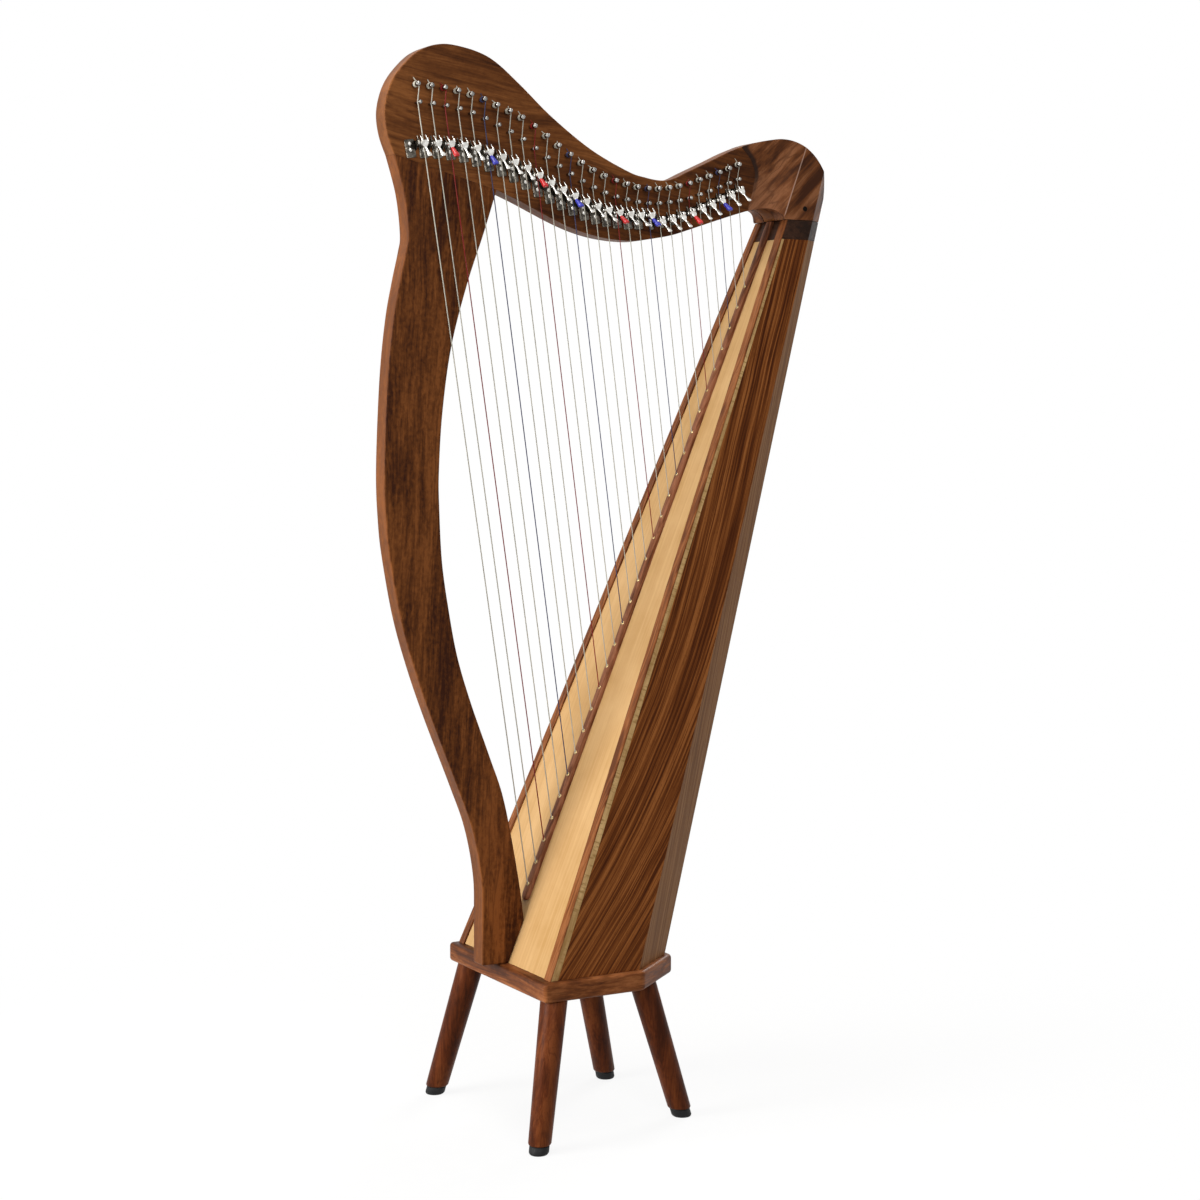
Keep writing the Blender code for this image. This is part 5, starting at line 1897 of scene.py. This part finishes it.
@dataclass
class Levers(Part):
    """One sharping lever for each string, on its own bracket and pivot."""

    stringing: Stringing
    small_from: int = 21
    swung_from: int = 16
    pivot_standoff: float = 0.0125
    large_drop: Pair = (0.0527, -0.0029)
    small_drop: Pair = (0.039, 0.0094)
    plate_thickness: float = 0.0015
    # Plates of large and small brackets: left edge, top and bottom, from the pivot.
    large_plate: tuple[float, float, float] = (-0.0186, 0.0062, -0.0148)
    small_plate: tuple[float, float, float] = (-0.0125, 0.004, -0.009)
    plate_corner: float = 0.0016
    # Height of the upper screw, and share of the plate's drop between both.
    screw_rise: float = 0.0012
    screw_pitch: float = 0.48
    screw_profile: Pairs = (
        (-0.0003, 0.0021), (0.0002, 0.0021), (0.0007, 0.0016), (0.0009, 0.0008),
    )
    # Half length and half width of a screw's slot, and the span of its cutter.
    slot_half: Pair = (0.003, 0.00025)
    slot_depth: Pair = (-0.002, -0.00035)
    ear_from: float = -0.0062
    ear_thickness: float = 0.0012
    # Ear that carries the axle, with its horn, in (Y, Z).
    ear: Pairs = (
        (0.0125, 0.004), (0.0125, -0.0074), (0.011, -0.0074), (0.0065, -0.0034), (-0.0016, -0.0026),
        (-0.0026, -0.0013), (-0.0029, 0.0012), (-0.0016, 0.0032), (0.0004, 0.0044), (0.001, 0.0066),
        (0.0016, 0.0086), (0.0024, 0.0091), (0.0034, 0.0074), (0.0044, 0.005), (0.0064, 0.0036),
        (0.011, 0.004),
    )
    axle_radius: float = 0.0012
    # Head of an axle: run, and share of the axle's radius.
    axle_head: Pairs = ((-0.001, 0.5), (-0.0008, 1.2), (-0.0001, 1.5), (0.0, 1.0))
    # Reach of the axle into the left prong, and radius of the spacer round it.
    axle_grip: float = 0.0004
    spacer_radius: float = 0.002
    fork_centre: float = 0.001
    # How much farther right the forks sit from the middle levers on.
    fork_drift: float = 0.0022
    prong_thickness: float = 0.0016
    prong_spacing: float = 0.0066
    # Prongs in (Y, Z): both of a large lever, then the left one and the cam of a small one.
    large_prong: Pairs = (
        (-0.004, 0.001), (-0.0022, 0.0006), (-0.0006, 0.0026), (0.0012, 0.0052), (0.002, 0.008),
        (0.0012, 0.0089), (0.0, 0.0076), (-0.0016, 0.0052), (-0.0034, 0.0034),
    )
    small_prong: Pairs = (
        (-0.0022, 0.0), (0.0012, 0.0), (0.0018, 0.0024), (0.001, 0.0052), (0.0, 0.0058),
        (-0.001, 0.0046), (-0.002, 0.0024),
    )
    cam_centre: Pair = (0.0002, 0.0026)
    cam_radius: float = 0.0026
    cam_width: float = 0.004
    cam_from: float = -0.001
    # How square the handles are, as powers for width and thickness.
    squareness: Pair = (0.6, 0.7)
    handle_sides: int = 16
    # Bass lever from fork to tip: Y and Z of the middle, width and thickness.
    bass_handle: Stations = (
        (-0.003, 0.0028, 0.0076, 0.0018), (-0.0026, 0.0015, 0.0084, 0.0022),
        (-0.002, -0.001, 0.0084, 0.0024), (-0.0013, -0.0032, 0.0066, 0.0022),
        (-0.0011, -0.0049, 0.0036, 0.002), (-0.0022, -0.0066, 0.0026, 0.0019),
        (-0.0039, -0.0088, 0.0027, 0.0018), (-0.0058, -0.0109, 0.0038, 0.0018),
        (-0.0076, -0.0128, 0.0054, 0.0019), (-0.0088, -0.0144, 0.0058, 0.002),
        (-0.0096, -0.0158, 0.005, 0.0016), (-0.0098, -0.0162, 0.0036, 0.001),
    )
    # The same middles, (Y, Z), where the handles swing out farthest.
    swung_line: Pairs = (
        (-0.003, 0.0028), (-0.0026, 0.0015), (-0.002, -0.001), (-0.0016, -0.003), (-0.002, -0.0048),
        (-0.0038, -0.0064), (-0.006, -0.0082), (-0.0084, -0.01), (-0.0108, -0.0117),
        (-0.0124, -0.0129), (-0.0137, -0.0139), (-0.014, -0.0142),
    )
    small_handle: Stations = (
        (0.0002, 0.0018, 0.0062, 0.0018), (-0.0003, 0.0006, 0.0076, 0.0022),
        (-0.001, -0.0012, 0.0078, 0.0023), (-0.0019, -0.0031, 0.0066, 0.0022),
        (-0.0028, -0.0047, 0.0044, 0.0021), (-0.0042, -0.0062, 0.0028, 0.0019),
        (-0.0061, -0.0078, 0.0026, 0.0018), (-0.0082, -0.0094, 0.0034, 0.0018),
        (-0.0106, -0.0111, 0.005, 0.0019), (-0.0126, -0.0126, 0.0055, 0.0019),
        (-0.0144, -0.0139, 0.0046, 0.0015), (-0.0149, -0.0143, 0.003, 0.0009),
    )
    # Sleeve: first station, growth, least width, and share of that form at each station.
    sleeve_from: int = 4
    sleeve_growth: float = 0.0016
    sleeve_width: float = 0.005
    sleeve_fill: tuple[float, ...] = (0.55, 0.9, 1.0, 1.0, 1.0, 1.0, 0.95, 0.7)

    def is_small(self, number: int) -> bool:
        """Tell whether a string has a treble lever."""
        return number >= self.small_from

    def swing(self, number: int) -> float:
        """Return how far a lever has gone from the bass form to the swung one."""
        return min((number - 1) / (self.swung_from - 1), 1.0)

    def place(self, number: int) -> Matrix:
        """Place a lever and its bracket.

        Args:
            number: The string.

        Returns:
            The matrix of their own frame, with X along the axle and Z up the string.
        """
        head = self.stringing.solid_head(number)
        run = head - self.stringing.eyelet(number)
        share, offset = self.small_drop if self.is_small(number) else self.large_drop
        drop = share * run.length + offset
        on_string = head - run * (drop / run.length)
        depth = -self.layout.half_timber - self.pivot_standoff
        pivot = Matrix.Translation(Vector((on_string.x, depth, on_string.z)))
        turn = Matrix.Rotation(-math.atan2(-run.x, run.z), 4, "Y")
        drift = Matrix.Translation(ALONG_X * (self.fork_drift * self.swing(number)))
        return pivot @ turn @ drift

    def slab(self, outline: Sequence[Pair], start: float, thickness: float) -> Shape:
        """Build a flat piece with softened edges.

        Args:
            outline: Its outline in (Y, Z).
            start: X of its left face.
            thickness: Its thickness.

        Returns:
            The new bmesh.
        """
        rings = [[Vector((x, y, z)) for y, z in outline] for x in (start, start + thickness)]
        item = bare_object("slab", loft(rings))
        round_edges(item, 0.00035, segments=2, angle=25.0)
        return take_shape(item)

    def screw(self) -> Item:
        """Build a slotted screw head that faces -Y, on the plane Y = 0.

        Returns:
            The template object.
        """
        head = bare_object("screw", turned(Vector(), TO_LEFT, self.screw_profile, 20))
        x, z = self.slot_half
        slot = prism([(-x, -z), (x, -z), (x, z), (-x, z)], *self.slot_depth)
        cut_out(head, [bare_object("slot", slot)])
        return head

    def bracket(self, small: bool) -> Item:
        """Build the template of a bracket: plate and ear.

        Args:
            small: Whether it is a treble bracket.

        Returns:
            The template object, in the lever's frame.
        """
        left, high, low = self.small_plate if small else self.large_plate
        corner, back = self.plate_corner, self.pivot_standoff
        centres = (
            (self.ear_from - corner, high - corner), (left + corner, high - corner),
            (left + corner, low + corner), (self.ear_from - corner, low + corner),
        )
        outline = [
            (x + corner * math.cos(a), z + corner * math.sin(a))
            for quarter, (x, z) in enumerate(centres)
            for a in (math.radians(90 * quarter + degrees) for degrees in (0, 30, 60, 90))
        ]
        plate = bare_object("plate", prism(outline, back, back - self.plate_thickness))
        round_edges(plate, 0.0004, segments=2, angle=60.0)
        bm = take_shape(plate)
        absorb(bm, self.slab(self.ear, self.ear_from, self.ear_thickness))
        return bare_object("bracket_template", bm, 40.0)

    def screw_places(self, number: int) -> list[Matrix]:
        """Place the screws of a bracket.

        Args:
            number: The string.

        Returns:
            The matrix of each screw.
        """
        left, _, low = self.small_plate if self.is_small(number) else self.large_plate
        middle = (left + self.ear_from) / 2
        front = self.pivot_standoff - self.plate_thickness
        return [
            self.place(number) @ Matrix.Translation(Vector((middle, front, z)))
            for z in (self.screw_rise, self.screw_rise + self.screw_pitch * low)
        ]

    def stations(self, number: int) -> list[Station]:
        """Draw a lever from fork to tip.

        Args:
            number: The string.

        Returns:
            Its stations.
        """
        if self.is_small(number):
            return list(self.small_handle)
        share = self.swing(number)
        return [
            (y + (to_y - y) * share, z + (to_z - z) * share, wide, thick)
            for (y, z, wide, thick), (to_y, to_z) in zip(self.bass_handle, self.swung_line)
        ]

    def sections(self, stations: Sequence[Station]) -> Shape:
        """Skin a lever's stations with flat oval sections.

        Args:
            stations: Y and Z of the middle, width and thickness.

        Returns:
            The new bmesh.
        """
        middles = [Vector((self.fork_centre, y, z)) for y, z, _, _ in stations]
        flat, round_off = self.squareness
        rings = []
        for i, (middle, (_, _, wide, thick)) in enumerate(zip(middles, stations)):
            way = middles[min(i + 1, len(middles) - 1)] - middles[max(i - 1, 0)]
            face = way.normalized().cross(ALONG_X)
            ring = []
            for c, s in full_turn(self.handle_sides):
                side = math.copysign(abs(c) ** flat, c)
                rise = math.copysign(abs(s) ** round_off, s)
                ring.append(middle + ALONG_X * (wide / 2 * side) + face * (thick / 2 * rise))
            rings.append(ring)
        return loft(rings)

    def fork(self, small: bool) -> Item:
        """Build the template of a lever's prongs and axle.

        Args:
            small: Whether it is a treble lever.

        Returns:
            The template object, in the lever's frame.
        """
        left = self.fork_centre - self.prong_spacing / 2 - self.prong_thickness / 2
        radius, cam = self.axle_radius, self.cam_radius
        grip = left + self.axle_grip
        ear_to = self.ear_from + self.ear_thickness
        head = [(run, share * radius) for run, share in self.axle_head]
        axle = [*head, (grip - self.ear_from, radius)]
        bm = turned(Vector((self.ear_from, 0.0, 0.0)), ALONG_X, axle, 20)
        spacer = [(GAP, self.spacer_radius), (grip - ear_to, self.spacer_radius)]
        absorb(bm, turned(Vector((ear_to, 0.0, 0.0)), ALONG_X, spacer, 20))
        if small:
            absorb(bm, self.slab(self.small_prong, left, self.prong_thickness))
            width = self.cam_width
            profile = [(0.0, 0.86 * cam), (0.0004, cam), (width - 0.0006, cam), (width, 0.8 * cam)]
            start = Vector((self.fork_centre + self.cam_from, *self.cam_centre))
            absorb(bm, turned(start, ALONG_X, profile, 24))
        else:
            for x in (left, left + self.prong_spacing):
                absorb(bm, self.slab(self.large_prong, x, self.prong_thickness))
        return bare_object("fork_template", bm, 45.0)

    def build_plates(self) -> None:
        """Build and dress the brackets and their screws."""
        brackets = [self.bracket(small) for small in (False, True)]
        screw = self.screw()
        plates, screws = bmesh.new(), bmesh.new()
        for number in self.stringing.numbers:
            copy_in(plates, brackets[self.is_small(number)].data, self.place(number))
            for spot in self.screw_places(number):
                copy_in(screws, screw.data, spot)
        plates = bare_object("lever_brackets", plates, 40.0)
        dress(plates, self.finishes.plate, ("neck",))
        dress(bare_object("lever_screws", screws, 40.0), self.finishes.nickel)
        for template in (screw, *brackets):
            bpy.data.objects.remove(template, do_unlink=True)

    def build_lever(self, number: int, fork: bpy.types.Mesh) -> None:
        """Build one lever and the sleeve that a coloured string's lever has.

        Args:
            number: The string.
            fork: Mesh of the prongs in the lever's own frame.
        """
        name = f"lever_{number:02d}"
        stations = self.stations(number)
        bm = self.sections(stations)
        bm.from_mesh(fork)
        bm.transform(self.place(number))
        lever = bare_object(name + "_forked", bm, 45.0)
        dress(lever, self.finishes.nickel, (name,), name + "_body")
        tint = self.stringing.tint(number)
        if tint is Tint.CLEAR:
            return
        grown = self.sleeve_growth
        bm = self.sections([
            (y, z, share * max(wide + grown, self.sleeve_width), share * (thick + grown))
            for (y, z, wide, thick), share in zip(stations[self.sleeve_from:], self.sleeve_fill)
        ])
        bm.transform(self.place(number))
        sleeve = bare_object(name + "_sleeve", bm, 45.0)
        dress(sleeve, self.finishes.sleeves[tint], (), name + "_body")

    def build(self) -> None:
        """Build and dress brackets, screws, levers and sleeves."""
        self.build_plates()
        forks = [self.fork(small) for small in (False, True)]
        for number in self.stringing.numbers:
            self.build_lever(number, forks[self.is_small(number)].data)
        for template in forks:
            bpy.data.objects.remove(template, do_unlink=True)


@dataclass
class Studio:
    """Pale floor, white surroundings, soft lamps and the camera."""

    layout: Layout
    # Camera measured from the middle of the base plate's front edge.
    camera_place: Triple = (-1.2304, -2.435, 0.83729)
    camera_tilt: float = 85.635
    camera_turn: float = -29.453
    lens: float = 69.19
    sensor_width: float = 36.0
    ambient: float = 0.16
    ambient_colour: Colour = (1.0, 0.985, 0.965)
    lamp_colour: Colour = (1.0, 0.985, 0.96)
    # Lamps: name, place, point they face, width and power in watts.
    lamps: tuple[tuple[str, Triple, Triple, float, float], ...] = (
        ("left", (-3.3, 0.1, 1.15), (0.0, 0.0, 0.6), 1.8, 124.0),
        ("top", (-0.5, -0.2, 3.8), (0.0, 0.0, 0.7), 1.8, 54.0),
        ("front", (-0.9, -2.6, 1.7), (0.0, 0.0, 0.6), 1.6, 33.0),
        ("back", (2.8, 1.9, 2.2), (0.0, 0.0, 0.7), 1.8, 70.0),
    )
    floor_size: float = 9.0
    # Where the floor starts and ends to turn white, and from what share.
    floor_fade: Triple = (0.35, 1.1, 0.875)

    def build_world(self) -> None:
        """Light the scene evenly, and show white to camera and reflections."""
        world = bpy.data.worlds.new("studio")
        bpy.context.scene.world = world
        world.use_nodes = True
        world.node_tree.nodes.clear()
        tree = Tree(world.node_tree)
        soft = tree.add(
            "Background", {"Color": (*self.ambient_colour, 1.0), "Strength": self.ambient})
        white = tree.add("Background", {"Color": (*WHITE, 1.0), "Strength": 1.0})
        mix = tree.add("MixShader", {0: tree.seen(), 1: soft.outputs[0], 2: white.outputs[0]})
        tree.add("OutputWorld", {"Surface": mix.outputs[0]})

    def floor_material(self) -> Material:
        """Make the floor's pale paint, which reads as white and keeps a soft shadow.

        Returns:
            The material.
        """
        graph = Graph("studio_floor")
        where = graph.place()
        grain = graph.noise(where, 40.0, 3.0)
        seen = graph.seen()
        dull, pale = (
            graph.ramp(grain, [(0.3, (low,) * 3), (0.7, (high,) * 3)])
            for low, high in ((0.26, 0.3), (0.88, 0.92))
        )
        graph.set(
            Base_Color=graph.mix(seen, dull, pale),
            Roughness=graph.fit(grain, 0.3, 0.7, 0.85, 0.95),
        )
        distance = graph.add("VectorMath", {0: where}, operation="LENGTH").outputs["Value"]
        share = graph.math("MULTIPLY", seen, graph.fit(distance, *self.floor_fade))
        white = graph.add("Emission", {"Color": (*WHITE, 1.0), "Strength": 1.0})
        mix = graph.add("MixShader", {
            0: share, 1: graph.shader.outputs[0], 2: white.outputs[0],
        })
        graph.join(mix.outputs[0], graph.tree.nodes["Material Output"].inputs["Surface"])
        return graph.material

    def build_floor(self) -> None:
        """Lay the floor."""
        bm = bmesh.new()
        bmesh.ops.create_grid(bm, x_segments=8, y_segments=8, size=self.floor_size)
        floor = bare_object("studio_floor", bm)
        if floor.data.polygons[0].normal.z < 0:
            floor.data.flip_normals()
        floor.data.materials.append(self.floor_material())

    def build_lamps(self) -> None:
        """Hang the soft lamps."""
        for name, place, target, size, power in self.lamps:
            light = bpy.data.lights.new("lamp_" + name, "AREA")
            light.shape = "DISK"
            light.size = size
            light.energy = power
            light.color = self.lamp_colour
            lamp = bpy.data.objects.new("lamp_" + name, light)
            lamp.location = place
            way = Vector(target) - Vector(place)
            lamp.rotation_euler = way.to_track_quat("-Z", "Y").to_euler()
            bpy.context.scene.collection.objects.link(lamp)

    def build_camera(self) -> None:
        """Set the camera where the photograph was taken."""
        data = bpy.data.cameras.new("camera")
        data.sensor_width = self.sensor_width
        data.lens = self.lens
        data.clip_start = 0.05
        camera = bpy.data.objects.new("camera", data)
        camera.location = Vector(self.camera_place) + ALONG_X * self.layout.front
        tilt, turn = math.radians(self.camera_tilt), math.radians(self.camera_turn)
        camera.rotation_euler = (tilt, 0.0, turn)
        bpy.context.scene.collection.objects.link(camera)
        bpy.context.scene.camera = camera

    def build(self) -> None:
        """Build the studio around the harp."""
        self.build_world()
        self.build_floor()
        self.build_lamps()
        self.build_camera()
        bpy.context.scene.view_settings.view_transform = "Standard"
        LOG.info("studio ready")


def main() -> None:
    """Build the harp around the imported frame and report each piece."""
    logging.basicConfig(level=logging.INFO, format="%(name)s: %(message)s")
    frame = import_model()
    layout = Layout(front=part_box("base_plate")[0][0])
    finishes = Finishes(layout)
    base = BasePlate(layout, finishes)
    base.build()
    Legs(layout, finishes, base).build()
    box = Soundbox(layout, finishes)
    box.build(frame["nodes"])
    Pillar(layout, finishes).build()
    Neck(layout, finishes).build()
    stringing = Stringing(layout, finishes, box)
    stringing.build()
    Levers(layout, finishes, stringing).build()
    Studio(layout).build()


if __name__ == "__main__":
    main()
